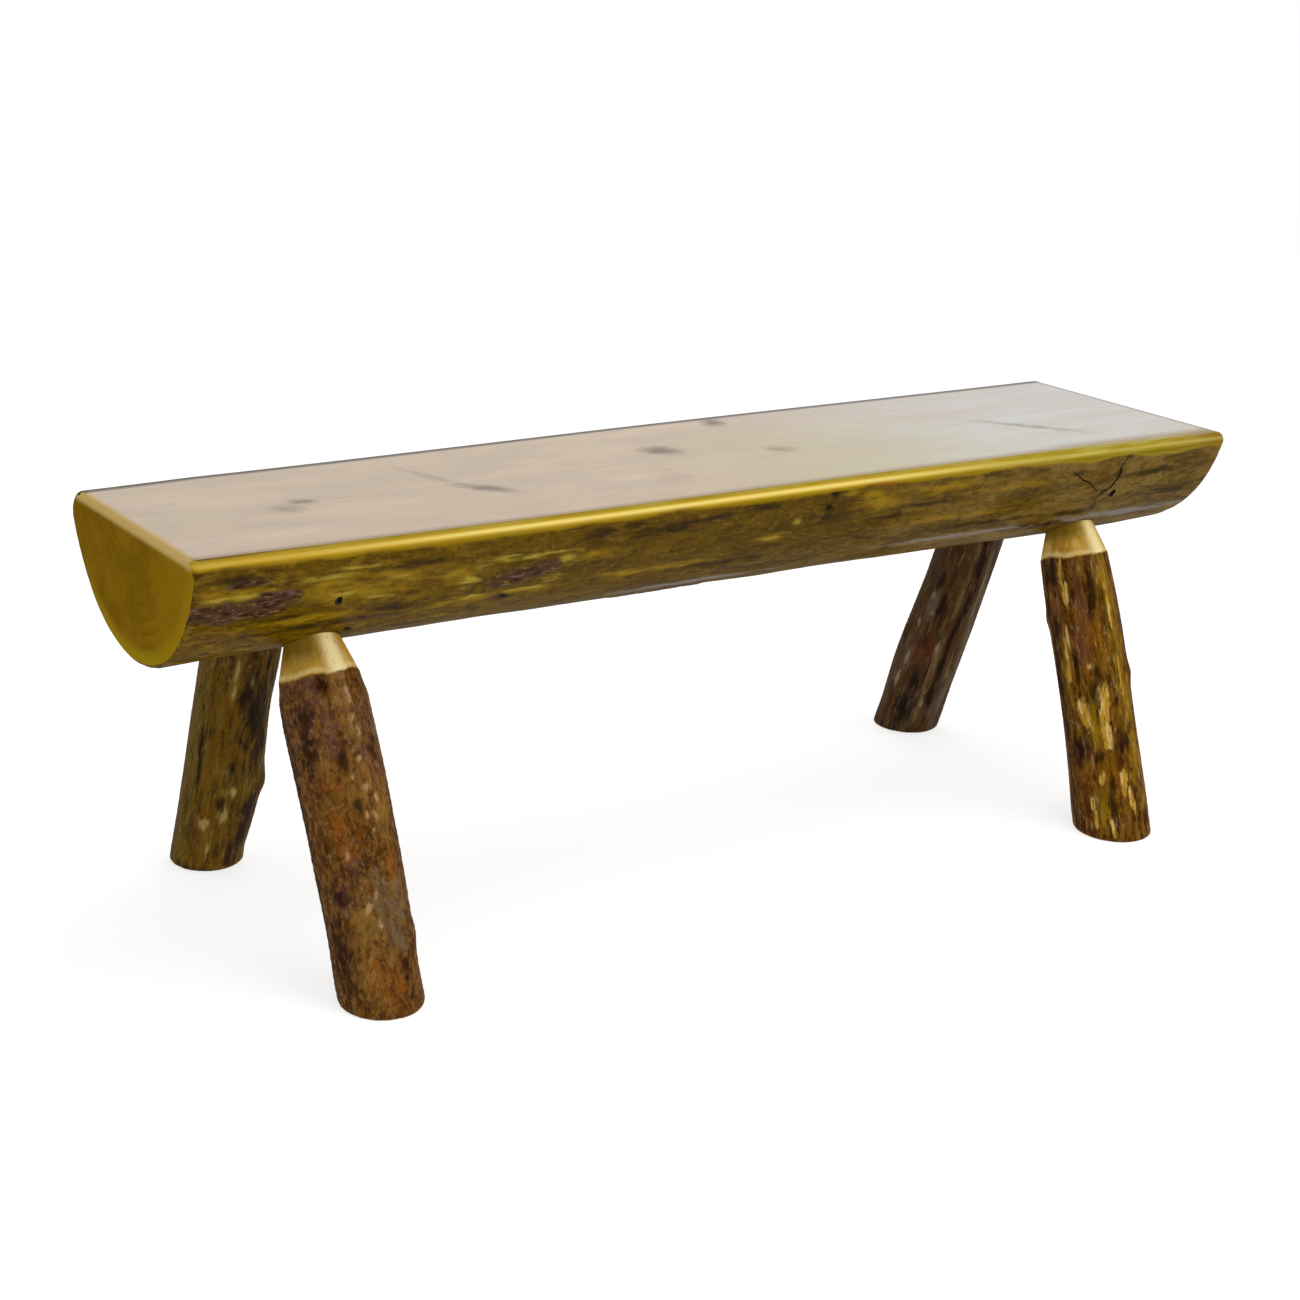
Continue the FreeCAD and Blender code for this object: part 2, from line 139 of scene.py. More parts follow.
# What each leg's skin is like: wander is how far it is out of round, grit the height of its bark's
# grains, streak how many times longer than wide its flecks are, lip how far its bark thins out towards
# the shoulder, and nubs are stubs of twigs:
# (height up the leg, degrees round it, height, width)
LEG_SKINS = {
    "front_left": {
        "seed": 3, "wander": 1.6, "grit": 0.7, "lip": 3.2, "streak": 2,
        "nubs": ((120, 100, 2, 9), (205, 40, 2.5, 8), (60, 330, 2, 9)),
    },
    "front_right": {
        "seed": 11, "wander": 1.2, "grit": 0.3, "lip": 0.0, "streak": 5,
        "nubs": ((173, 308, 3, 9), (243, 153, 2, 8), (90, 110, 2.5, 9)),
    },
    "rear_left": {
        "seed": 23, "wander": 1.3, "grit": 0.4, "lip": 1.5, "streak": 6,
        "nubs": ((122, 322, 4, 12), (235, 60, 2.5, 8)),
    },
    "rear_right": {
        "seed": 37, "wander": 1.2, "grit": 0.4, "lip": 1.0, "streak": 8,
        "nubs": ((140, 160, 4, 9), (210, 60, 2.5, 8)),
    },
}
# Marks on each leg's bark, by kind: strips peeled to the wood; tan, violet, orange, grey and dark places of
# the bark, with a dark strip down each front leg's side that is painted shade; and pale places that are
# painted
# glints. Each is an oval: (height up the leg, degrees round it, half height, half width)
LEG_MARKS = {
    "front_left": {
        "peeled": ((240, 70, 46, 6), (110, 110, 60, 5), (70, 20, 30, 6)),
        "tan": (
            (272, 272, 36, 9), (206, 268, 24, 17), (180, 296, 30, 12), (76, 240, 26, 12),
            (225, 232, 14, 10), (30, 240, 20, 10), (150, 130, 50, 16), (230, 350, 40, 12),
        ),
        "violet": (
            (276, 224, 40, 18), (262, 245, 24, 8), (244, 298, 30, 12), (106, 221, 14, 10),
            (122, 240, 12, 8), (200, 60, 50, 18), (60, 130, 40, 18),
        ),
        "orange": (
            (163, 234, 34, 11), (215, 226, 14, 9), (20, 262, 20, 14), (120, 290, 20, 8), (210, 120, 60, 20),
            (100, 10, 50, 18),
        ),
        "grey": ((84, 280, 32, 19), (92, 262, 10, 8), (250, 340, 30, 14), (160, 90, 34, 12)),
        "dark": (
            (273, 217, 9, 12), (245, 212, 24, 7), (302, 249, 10, 4), (238, 302, 14, 6), (104, 217, 7, 8),
            # (200, 166, 190, 8) is painted shade: a dark strip down the side of the leg away from the light
            (225, 255, 10, 5), (186, 262, 8, 4), (200, 166, 190, 8), (150, 330, 60, 6), (60, 335, 50, 6),
            (250, 20, 40, 4), (50, 200, 30, 9), (30, 290, 10, 6),
        ),
        "pale": (
            (289, 281, 9, 2.4), (266, 279, 6, 2.2), (252, 284, 5, 1.8), (219, 303, 4, 3),
            (174, 284, 4, 2.4), (143, 236, 5, 2.4), (100, 262, 5, 2.6), (78, 262, 5, 2.6), (200, 277, 4, 2),
            (212, 262, 3, 2), (176, 270, 5, 2), (160, 276, 5, 2), (190, 290, 4, 2), (228, 276, 4, 2),
            (90, 250, 6, 3),
        ),
    },
    "front_right": {
        "peeled": (
            (290, 202, 18, 3.4), (267, 205, 15, 4.4), (132, 210, 24, 6), (136, 243, 26, 7),
            (108, 242, 18, 6), (150, 236, 8, 5), (52, 258, 14, 3.6), (30, 268, 17, 3.8), (11, 208, 12, 2.6),
            (34, 205, 8, 2.6), (58, 223, 9, 3), (2, 231, 10, 3), (190, 191, 30, 2.6), (250, 276, 24, 2),
            (165, 279, 22, 2.2), (240, 60, 46, 7), (110, 100, 70, 6), (50, 20, 40, 6), (190, 130, 40, 5),
            (90, 340, 60, 6), (200, 10, 40, 4),
        ),
        "tan": (
            (265, 277, 60, 10), (200, 282, 54, 11), (140, 284, 46, 10), (80, 289, 54, 10),
            (190, 191, 36, 5), (120, 226, 34, 14), (30, 222, 26, 10), (90, 120, 60, 12), (220, 350, 60, 10),
        ),
        "violet": (
            (264, 232, 42, 7), (236, 180, 26, 8), (94, 196, 12, 12), (95, 262, 12, 8), (196, 222, 22, 8),
            (150, 80, 60, 16),
        ),
        "orange": (
            (215, 246, 30, 9), (70, 235, 24, 12), (250, 170, 50, 12), (120, 330, 60, 16), (230, 90, 50, 14),
        ),
        "grey": (),
        "dark": (
            (295, 190, 16, 6), (266, 247, 30, 5), (235, 177, 24, 5), (171, 240, 9, 4.4),
            (153, 229, 12, 4.4), (127, 228.5, 14, 1.6), (143, 261, 6, 4), (94, 190, 12, 9),
            # (200, 166, 190, 5) is painted shade: a dark strip down the side of the leg away from the light
            (93, 264, 12, 9), (80, 222, 12, 5), (200, 166, 190, 5), (28, 236, 18, 4), (45, 240, 14, 3),
            (185, 206, 16, 3), (60, 120, 50, 5),
        ),
        "pale": (
            (184, 226.5, 3.4, 3), (217, 198, 9, 2), (141, 240, 10, 2), (62, 226, 6, 2), (262, 207, 8, 2),
        ),
    },
    "rear_left": {
        "peeled": ((150, 70, 80, 6), (230, 120, 50, 6), (70, 20, 40, 5)),
        "tan": (
            (278, 243, 32, 4), (138, 290, 12, 9), (127, 250, 10, 9), (150, 252, 14, 8), (60, 230, 30, 6),
            (95, 254, 16, 3), (200, 90, 60, 10),
        ),
        "violet": (
            (300, 266, 14, 8), (296, 219, 14, 7), (236, 290, 30, 12), (80, 300, 50, 12), (160, 40, 60, 18),
        ),
        "orange": ((60, 222, 40, 16), (180, 232, 50, 10), (200, 100, 60, 16)),
        "grey": ((220, 192, 90, 12), (60, 196, 50, 8), (120, 90, 50, 12)),
        "dark": (
            (228, 282, 56, 17), (256, 264, 18, 9), (180, 298, 44, 12), (72, 288, 40, 13), (40, 281, 26, 10),
            (100, 286, 10, 8), (158, 256, 11, 4), (112, 246, 8, 3), (8, 240, 8, 26), (150, 205, 40, 2.6),
            (180, 60, 60, 6), (100, 130, 40, 6),
        ),
        "pale": (
            (256, 242.5, 11, 2.8), (284, 243, 12, 2), (269, 268, 9, 2.2), (127, 262, 5, 3.4),
            (79, 225, 9, 4.2), (92, 254.5, 15, 2.4), (41, 239, 12, 2.4), (39, 267, 8, 2),
            (228, 268, 12, 1.6), (200, 90, 60, 2),
        ),
    },
    "rear_right": {
        "peeled": ((140, 90, 90, 5), (240, 20, 50, 5)),
        "tan": (
            (272, 243, 32, 3), (222, 241, 40, 4.4), (130, 236, 40, 5), (90, 100, 60, 10), (60, 238, 30, 4),
        ),
        "violet": ((250, 187, 34, 10), (60, 215, 40, 10), (180, 50, 80, 18)),
        "orange": ((136, 210, 26, 10), (90, 120, 50, 14)),
        "grey": (
            (238, 285, 60, 8), (150, 286, 50, 8), (70, 276, 50, 7), (205, 196, 24, 7), (110, 184, 40, 6),
            (60, 60, 50, 12),
        ),
        "dark": (
            (262, 258, 44, 4), (216, 258, 38, 4.2), (176, 254, 38, 4), (128, 252, 40, 4), (75, 250, 44, 4),
            (40, 212, 34, 9), (205, 214, 22, 5), (236, 196, 14, 5), (95, 214, 18, 5), (6, 240, 8, 30),
            (200, 100, 90, 5),
        ),
        "pale": (
            (213, 194, 6, 3.4), (191, 203, 6, 3.2), (170, 182, 6, 3.4), (119, 186, 10, 3.4),
            (84, 182, 10, 3.4), (150, 234, 8, 2), (62, 241, 6, 2.2), (230, 280, 40, 1.6),
            (120, 271, 20, 2.4), (160, 110, 60, 2),
        ),
    },
}


def ease(low, high, value):
    """0 up to low, 1 from high, and a smooth rise between them."""
    share = np.clip((value - low) / (high - low), 0, 1)
    return share * share * (3 - 2 * share)


def humps(points, grain, seed, octaves=3):
    """Smooth random heights, about -1 to 1; grain is the size of one hump along x, y and z."""
    scaled = points / np.array(grain, float) + seed * SEED_STEP
    return np.array([noise.fractal(Vector(point), 1.0, 2.0, octaves) for point in scaled])


def pebbles(points, grain, seed):
    """Rounded grains: near 1 in the middle of a grain, 0 where two meet."""
    scaled = points / np.array(grain, float) + seed * SEED_STEP
    nearest = np.array([noise.voronoi(Vector(point))[0][:2] for point in scaled])
    return 1 - nearest[:, 0] / nearest[:, 1]


def skin_of(node):
    """The skin of a CAD node, as a search tree in mm."""
    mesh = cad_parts[node].data
    vertices = [vertex.co / MM for vertex in mesh.vertices]
    return BVHTree.FromPolygons(vertices, [tuple(polygon.vertices) for polygon in mesh.polygons])


def hit(skin, start, direction):
    """Where a line from inside a solid meets its skin."""
    return skin.ray_cast(Vector(start), Vector(direction))[0]


def end_face(node, facing):
    """Middle, in mm, and outward direction of the largest flat face that looks roughly along facing."""
    faces = {}
    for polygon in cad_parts[node].data.polygons:
        if polygon.normal.dot(facing) > 0.8:
            faces.setdefault(tuple(round(part, 3) for part in polygon.normal), []).append(polygon)
    face = max(faces.values(), key=lambda polygons: sum(polygon.area for polygon in polygons))
    area = sum(polygon.area for polygon in face)
    middle = sum((polygon.center * polygon.area for polygon in face), Vector()) / area
    return middle / MM, sum((polygon.normal * polygon.area for polygon in face), Vector()).normalized()


def closed_skin(rings):
    """Vertices and faces of a closed skin through rings of points; its two ends close on their middles."""
    count, around = rings.shape[:2]
    vertices = np.concatenate([rings.reshape(-1, 3), rings[:1].mean(1), rings[-1:].mean(1)])
    here = np.arange(around)
    after = (here + 1) % around
    faces = []
    for ring in range(count - 1):
        low, high = ring * around, (ring + 1) * around
        faces.append(np.stack([low + here, low + after, high + after, high + here], axis=1))
    quads = np.concatenate(faces).tolist()
    last = (count - 1) * around
    first_fan = np.stack([after, here, np.full(around, count * around)], axis=1).tolist()
    last_fan = np.stack([last + here, last + after, np.full(around, count * around + 1)], axis=1).tolist()
    return vertices, quads + first_fan + last_fan


def make_mesh(name, vertices, faces, materials, finishes):
    """A smooth mesh from points in mm, turned right side out; finishes numbers each face's material."""
    mesh = bpy.data.meshes.new(name)
    for material in materials:
        mesh.materials.append(material)
    mesh.from_pydata((vertices * MM).tolist(), [], faces)
    mesh.polygons.foreach_set("material_index", finishes)
    mesh.update()
    centres, normals, areas = (np.empty(len(faces) * size) for size in (3, 3, 1))
    mesh.polygons.foreach_get("center", centres)
    mesh.polygons.foreach_get("normal", normals)
    mesh.polygons.foreach_get("area", areas)
    if (centres.reshape(-1, 3) * normals.reshape(-1, 3) * areas[:, None]).sum() < 0:
        mesh.flip_normals()
    mesh.shade_smooth()
    return mesh


def shrinking_rings(rim, steps):
    """Copies of a ring of points that shrink in even steps towards its middle, without the rim itself."""
    return [rim + (rim.mean(0) - rim) * share for share in np.linspace(0, 1, steps + 1)[1:-1]]


def points_of(mesh):
    """All vertices of a mesh, in mm."""
    flat = np.empty(len(mesh.vertices) * 3)
    mesh.vertices.foreach_get("co", flat)
    return flat.reshape(-1, 3) / MM


def store(mesh, marks):
    """Keeps each mark, a number for every vertex, on the mesh for its materials."""
    for name, values in marks.items():
        mesh.attributes.new(name, "FLOAT", "POINT").data.foreach_set("value", values.astype(np.float32))


def put_in_scene(name, data):
    """A new object of a mesh, light or camera, in the scene."""
    new = bpy.data.objects.new(name, data)
    bpy.context.scene.collection.objects.link(new)
    return new


def place_piece(mesh, node):
    """Puts a finished mesh in the scene, in place of its CAD node."""
    piece = put_in_scene(f"{node}_wood", mesh)
    mesh.set_sharp_from_angle(angle=SHARP_TURN)
    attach(piece, "root")
    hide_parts(node)


def outward_at(angles):
    """Unit vectors at angles round the Z axis."""
    return np.stack([np.cos(angles), np.sin(angles), np.zeros_like(angles)], axis=1)


def carried(points, place):
    """Points of a frame of their own, moved to where that frame lies."""
    return points @ np.array(place.to_3x3()).T + np.array(place.translation)


def turned_shape(profile, place, around=48):
    """Vertices and faces of a turned solid; profile is (radius, height) pairs along place's Z."""
    ring = outward_at(np.linspace(0, 2 * math.pi, around, endpoint=False))
    rings = np.array([ring * (radius, radius, 0) + (0, 0, height) for radius, height in profile])
    return closed_skin(carried(rings, place))


def cut(mesh, cutters, finish):
    """Cuts the cutters' shapes out of a mesh; finish is the number of the material of the cuts' walls."""
    body = put_in_scene("uncut", mesh)
    tools = []
    for number, (vertices, faces) in enumerate(cutters):
        tool_mesh = make_mesh(f"cutter_{number}", vertices, faces, mesh.materials, [finish] * len(faces))
        middle = (vertices * MM).mean(0)
        tool_mesh.transform(Matrix.Translation(-Vector(middle)))
        tool = put_in_scene(tool_mesh.name, tool_mesh)
        tool.location = middle
        tools.append(tool)
        modifier = body.modifiers.new(tool.name, "BOOLEAN")
        modifier.operation = "DIFFERENCE"
        modifier.solver = "MANIFOLD"
        modifier.object = tool
    bpy.context.view_layer.update()
    result = bpy.data.meshes.new_from_object(body.evaluated_get(bpy.context.evaluated_depsgraph_get()))
    for spare in [body, *tools]:
        bpy.data.objects.remove(spare)
    return result


def srgb(code):
    """Linear colour of an sRGB hex code."""
    parts = [int(code[start:start + 2], 16) / 255 for start in (1, 3, 5)]
    linear = [part / 12.92 if part <= 0.04045 else ((part + 0.055) / 1.055) ** 2.4 for part in parts]
    return (*linear, 1)


def add(tree, kind, sockets=(), **settings):
    """Adds a node with its settings; sockets gives each input a value, another node's output, or the name
    of a mark that the mesh carries."""
    node = tree.nodes.new("ShaderNode" + kind)
    for name, value in settings.items():
        setattr(node, name, value)
    for name, value in dict(sockets).items():
        if isinstance(value, str):
            value = add(tree, "Attribute", attribute_name=value).outputs["Fac"]
        if isinstance(value, bpy.types.NodeSocket):
            tree.links.new(value, node.inputs[name])
        else:
            node.inputs[name].default_value = value
    return node


MIX_SHARE, MIX_UNDER, MIX_OVER, MIX_RESULT = 0, 6, 7, 2  # colour sockets of a Mix node


def painted(tree, colour, coats):
    """A colour with more laid over it: coats are (mask, colour) pairs, the last on top. A mask is a mark's
    name or a node's output, and a colour a hex code or a node's output."""
    for mask, over in coats:
        over = srgb(over) if isinstance(over, str) else over
        sockets = {MIX_SHARE: mask, MIX_UNDER: colour, MIX_OVER: over}
        colour = add(tree, "Mix", sockets, data_type="RGBA").outputs[MIX_RESULT]
    return colour


def patchy(tree, grain, level, edge=0.05, seed=0, strength=1.0):
    """Mask of irregular patches: grain is a patch's size along x, y and z in mm, a higher level leaves
    fewer, and strength is the mask's most, a number or another mask."""
    scale = [1 / (size * MM) for size in grain]
    place = {"Vector": tree.nodes["place"].outputs[0], "Location": SEED_STEP * seed, "Scale": scale}
    stretched = add(tree, "Mapping", place)
    cloud = add(tree, "TexNoise", {"Vector": stretched.outputs[0], "Scale": 1, "Detail": 3, "Roughness": 0.6})
    window = {
        "Value": cloud.outputs[0], "From Min": level - edge, "From Max": level + edge, "To Max": strength,
    }
    return add(tree, "MapRange", window, interpolation_type="SMOOTHSTEP").outputs[0]


def growth_rings(tree, pith, ring, wander, stretch):
    """Dark late wood of the growth rings round a pith line along X; ring is their spacing, all in mm."""
    centre = (0, -pith[0] * MM, -pith[1] * MM)
    place = {"Vector": tree.nodes["place"].outputs[0], "Location": centre, "Scale": (stretch, 1, 1)}
    centred = add(tree, "Mapping", place)
    period = 2 * math.pi / 20  # how far apart the rings of a Wave node of scale 1 lie
    rings = {
        "Vector": centred.outputs[0], "Scale": period / (ring * MM), "Distortion": wander,
        "Detail": 2, "Detail Scale": 0.25, "Detail Roughness": 0.5,
    }
    wave = add(tree, "TexWave", rings, wave_type="RINGS", rings_direction="X", wave_profile="SAW")
    return wave.outputs["Fac"]


def new_finish(name, own_place=False):
    """An empty material with its place node, which gives patterns their place, in metres: along the frame,
    or in the piece's own frame where the mesh carries one."""
    material = bpy.data.materials.new(name)
    material.use_nodes = True
    tree = material.node_tree
    tree.nodes.clear()
    if own_place:
        source = add(tree, "Attribute", attribute_name="own_place").outputs["Vector"]
    else:
        source = add(tree, "TexCoord").outputs["Object"]
    add(tree, "Mapping", {"Vector": source}, name="place")
    return material, tree


def dress(tree, colour, roughness, bump, height, lacquer=(0.0, 0.3), metallic=0.0):
    """The surface of a material: its colour, its fine relief (a mask, and its height in mm) and its coat of
    lacquer (how much of it, where none is given 0, and how rough)."""
    relief = add(tree, "Bump", {"Height": bump, "Distance": height * MM, "Strength": 1})
    surface = add(tree, "BsdfPrincipled", {
        "Base Color": colour, "Metallic": metallic, "Roughness": roughness, "Normal": relief.outputs[0],
        "Specular IOR Level": 0,  # only lacquer and metal shine
        "Coat Weight": lacquer[0], "Coat Roughness": lacquer[1],
    })
    add(tree, "OutputMaterial", {"Surface": surface.outputs[0]})


def face_knot(tree, knot):
    """Mask of one knot cut through by the planed face: a long dark eye with soft ends."""
    along, across, half_length, half_width, turn, darkness = knot
    wave, bend = 15, 20  # mm: length of the waves in its outline, and how far they bend it
    place = tree.nodes["place"].outputs[0]
    wobble = add(tree, "TexNoise", {"Vector": place, "Scale": 1 / (wave * MM), "Detail": 4})
    bent = {0: wobble.outputs["Color"], 1: (bend * MM,) * 3, 2: place}
    moved = add(tree, "VectorMath", bent, operation="MULTIPLY_ADD").outputs[0]
    lie = {
        "Vector": moved,
        "Location": ((along + bend / 2) * MM, (across + bend / 2) * MM, 0),
        "Rotation": (0, 0, math.radians(turn)),
        "Scale": (half_length * MM, half_width * MM, 1000),  # so deep that height plays no part
    }
    eye = add(tree, "Mapping", lie, vector_type="TEXTURE").outputs[0]
    distance = add(tree, "VectorMath", {0: eye}, operation="LENGTH").outputs["Value"]
    faded, full = 1.6, 0.1  # as shares of its half size
    window = {"Value": distance, "From Min": faded, "From Max": full, "To Max": darkness}
    return add(tree, "MapRange", window, interpolation_type="SMOOTHSTEP").outputs[0]


def sanded_band(tree):
    """Coats of the clean band of sanded and lacquered sapwood along the seat's rounded long edges: gold,
    duller and faded to the right where the light is painted as falling off, olive below as painted shade,
    darker at its right tip, with a painted highlight line along it."""
    return [
        ("band", "#b48e0e"),
        # painted fall of light: the band duller towards the right, and along its top
        ("band_dimmed", "#8c7c1e"),
        (patchy(tree, (50, 6, 6), 0.50, 0.14, seed=21, strength="band_dimmed"), "#a89a46"),
        # painted shade on the lower part of the rounded edge
        ("band_low_shade", "#786604"),
        ("band_tip", "#7a5a10"),
        # painted highlight line along the rounded edge
        ("gleam", "#eedc80"),
    ]


def planed_pine(pith):
    """Pine, planed and sanded under gloss lacquer: pale wood, straight grain, brown knots, a mirror sheen."""
    material, tree = new_finish("planed_lacquered_pine")
    rings = growth_rings(tree, (pith[0], pith[1] - 45), ring=9, wander=8, stretch=0.2)
    coats = [
        (patchy(tree, (220, 60, 60), 0.50, 0.14, seed=5, strength=0.8), "#d4bea4"),
        (patchy(tree, (90, 40, 40), 0.54, 0.10, seed=7, strength=0.5), "#b6a292"),
        # painted light: a greenish tint on the front of the face, from the middle rightwards
        ("painted_green_tint", "#bdb98e"),
        # painted reflection: bluish white towards the right
        ("painted_falloff_right", "#cacdd2"),
        (patchy(tree, (300, 60, 60), 0.45, 0.2, seed=2, strength=rings), "#bfab92"),
        (patchy(tree, (260, 7, 7), 0.60, 0.12, seed=1, strength=0.09), "#8c7458"),
        *((face_knot(tree, knot), "#543618") for knot in FACE_KNOTS),
        # painted highlight along the top edge at the left end
        ("end_edge_highlight", "#c4a468"),
        ("far_edge", "#7c7078"),
        # painted shade: a dark line along the face's rear edge
        ("rear_edge_shade", "#44382c"),
        ("seam", "#86705a"),
        *sanded_band(tree),
    ]
    colour = painted(tree, srgb("#c6b19a"), coats)
    dress(tree, colour, 0.45, patchy(tree, (60, 1.2, 1.2), 0.5, 0.2), 0.03, (0.9, 0.12))
    return material


def peeled_log():
    """Pine log, peeled in strips, which drinks much of its lacquer: olive and gold wood, brown inner bark."""
    material, tree = new_finish("skip_peeled_lacquered_pine")
    coats = [
        ("brown", "#715928"),
        (patchy(tree, (80, 26, 26), 0.50, 0.09, seed=1, strength=0.8), "#3c2a02"),
        (patchy(tree, (40, 13, 13), 0.54, 0.07, seed=2, strength=0.7), "#604808"),
        (patchy(tree, (50, 18, 18), 0.47, 0.10, seed=3, strength="warm"), "#5e4400"),
        (patchy(tree, (22, 9, 9), 0.56, 0.07, seed=12, strength="warm"), "#755804"),
        (patchy(tree, (24, 9, 9), 0.60, 0.07, seed=4, strength=0.5), "#2f2104"),
        (patchy(tree, (8, 7, 7), 0.58, 0.08, seed=5, strength=0.4), "#33240a"),
        (patchy(tree, (6, 12, 12), 0.62, 0.06, seed=13, strength=0.4), "#2e200a"),
        (patchy(tree, (13, 5, 5), 0.60, 0.07, seed=6, strength=0.4), "#77601e"),
        (patchy(tree, (24, 8, 8), 0.44, 0.16, seed=16, strength="gold"), "#8a6c0e"),
        ("dark", "#261c0a"),
        # grey weathering, and at the right end a painted sheen low on the side
        ("grey", "#78706a"),
        ("orange", "#7a4c10"),
        (patchy(tree, (14, 6, 6), 0.42, 0.18, seed=14, strength="pale"), "#a08a30"),
        ("bark", "#4a311c"),
        (patchy(tree, (18, 8, 8), 0.52, 0.12, seed=8, strength="bark"), "#2a160a"),
        (patchy(tree, (12, 5, 5), 0.60, 0.10, seed=9, strength="bark"), "#6c5044"),
        (patchy(tree, (16, 5, 5), 0.64, 0.08, seed=15, strength="bark"), "#7c6420"),
        # painted shade: darker on the lower side of the log
        ("under", "#40341a"),
        ("knot", "#120a04"),
        *sanded_band(tree),
    ]
    colour = painted(tree, srgb("#563e04"), coats)
    dress(tree, colour, 0.45, patchy(tree, (16, 2.5, 2.5), 0.5, 0.25), 0.25, (0.1, 0.28))
    return material


def sawn_end(pith):
    """Sawn and sanded end grain, which drinks the lacquer: olive gold, faint ring arcs, a light worn edge,
    and a painted highlight along its top.
    """
    material, tree = new_finish("sawn_end_grain_pine")
    rings = growth_rings(tree, pith, ring=14, wander=5, stretch=1)
    coats = [
        (patchy(tree, (70, 70, 70), 0.50, 0.15, seed=1, strength=0.8), "#6a4e0a"),
        (patchy(tree, (24, 24, 24), 0.55, 0.12, seed=4, strength=0.4), "#88680e"),
        (patchy(tree, (60, 60, 60), 0.52, 0.12, seed=2, strength=rings), "#6e520c"),
        ("edge", "#8e7614"),
        ("end_front", "#8a6a10"),
        # painted highlight fading down from the top edge of the sawn end
        ("end_top_highlight", "#cdae6c"),
    ]
    colour = painted(tree, srgb("#805e10"), coats)
    dress(tree, colour, 0.6, patchy(tree, (1.6, 1.6, 1.6), 0.5, 0.2), 0.08)
    return material


def bored_wood():
    """Raw pine inside a bore or a crack: dark, dry and dull."""
    material, tree = new_finish("bored_raw_pine")
    colour = painted(tree, srgb("#2c1a0a"), [(patchy(tree, (4, 4, 4), 0.5, 0.1), "#180d05")])
    dress(tree, colour, 0.8, patchy(tree, (2, 2, 2), 0.5, 0.2), 0.1)
    return material


def blackened_steel():
    """Black oxide steel of a trim screw: near black, satin, with rubbed lighter spots."""
    material, tree = new_finish("black_oxide_steel")
    colour = painted(tree, srgb("#1c1917"), [(patchy(tree, (1.5, 1.5, 1.5), 0.58, 0.06), "#4a443e")])
    dress(tree, colour, 0.42, patchy(tree, (0.6, 0.6, 0.6), 0.5, 0.2), 0.02, metallic=0.9)
    return material


# Colours of each leg's lacquered inner bark; pale is the colour of its painted glints, and of light streaks
# in its peeled strips
LEG_COLOURS = {
    "front_left": {
        "bark": "#56330d", "tone": "#422406", "violet": "#5e3c32", "orange": "#7e460c", "grey": "#6a5e46",
        "dark": "#241006", "fleck": "#825c28", "pale": "#b08c64", "peeled": "#94702a", "tan": "#866028",
    },
    "front_right": {
        "bark": "#3d1904", "tone": "#563007", "violet": "#5e3428", "orange": "#744804", "grey": "#5c4c34",
        "dark": "#160600", "fleck": "#805a14", "pale": "#d0b274", "peeled": "#aa8224", "tan": "#866810",
    },
    "rear_left": {
        "bark": "#4e3402", "tone": "#5c3f06", "violet": "#3a2012", "orange": "#5e3a02", "grey": "#56480c",
        "dark": "#120803", "fleck": "#68500f", "pale": "#a08650", "peeled": "#654a0c", "tan": "#6e5722",
    },
    "rear_right": {
        "bark": "#3a220a", "tone": "#492e0d", "violet": "#30211e", "orange": "#4c2206", "grey": "#5f5547",
        "dark": "#080301", "fleck": "#543c1c", "pale": "#8a785e", "peeled": "#5a4018", "tan": "#6c5838",
    },
}


def turned_pine(tree, seed):
    """Colour of a shoulder and tenon turned to bare wood under lacquer: gold, in light and dark streaks, with
    a painted highlight down one side and a painted shadow of the seat at its top.
    """
    return painted(tree, srgb("#c4983c"), [
        (patchy(tree, (12, 12, 90), 0.52, 0.12, seed=seed + 5, strength=0.8), "#9a7018"),
        (patchy(tree, (14, 14, 50), 0.54, 0.10, seed=seed + 6, strength=0.7), "#dcb968"),
        # painted highlight down the lit side, with a lighter rim along the bark's edge
        ("light", "#f8e6a8"),
        (patchy(tree, (2, 2, 18), 0.62, 0.06, seed=seed + 9, strength=0.4), "#84540e"),
        # painted shadow of the seat on the shoulder's upper left
        ("joint_shade", "#6a5410"),
    ])


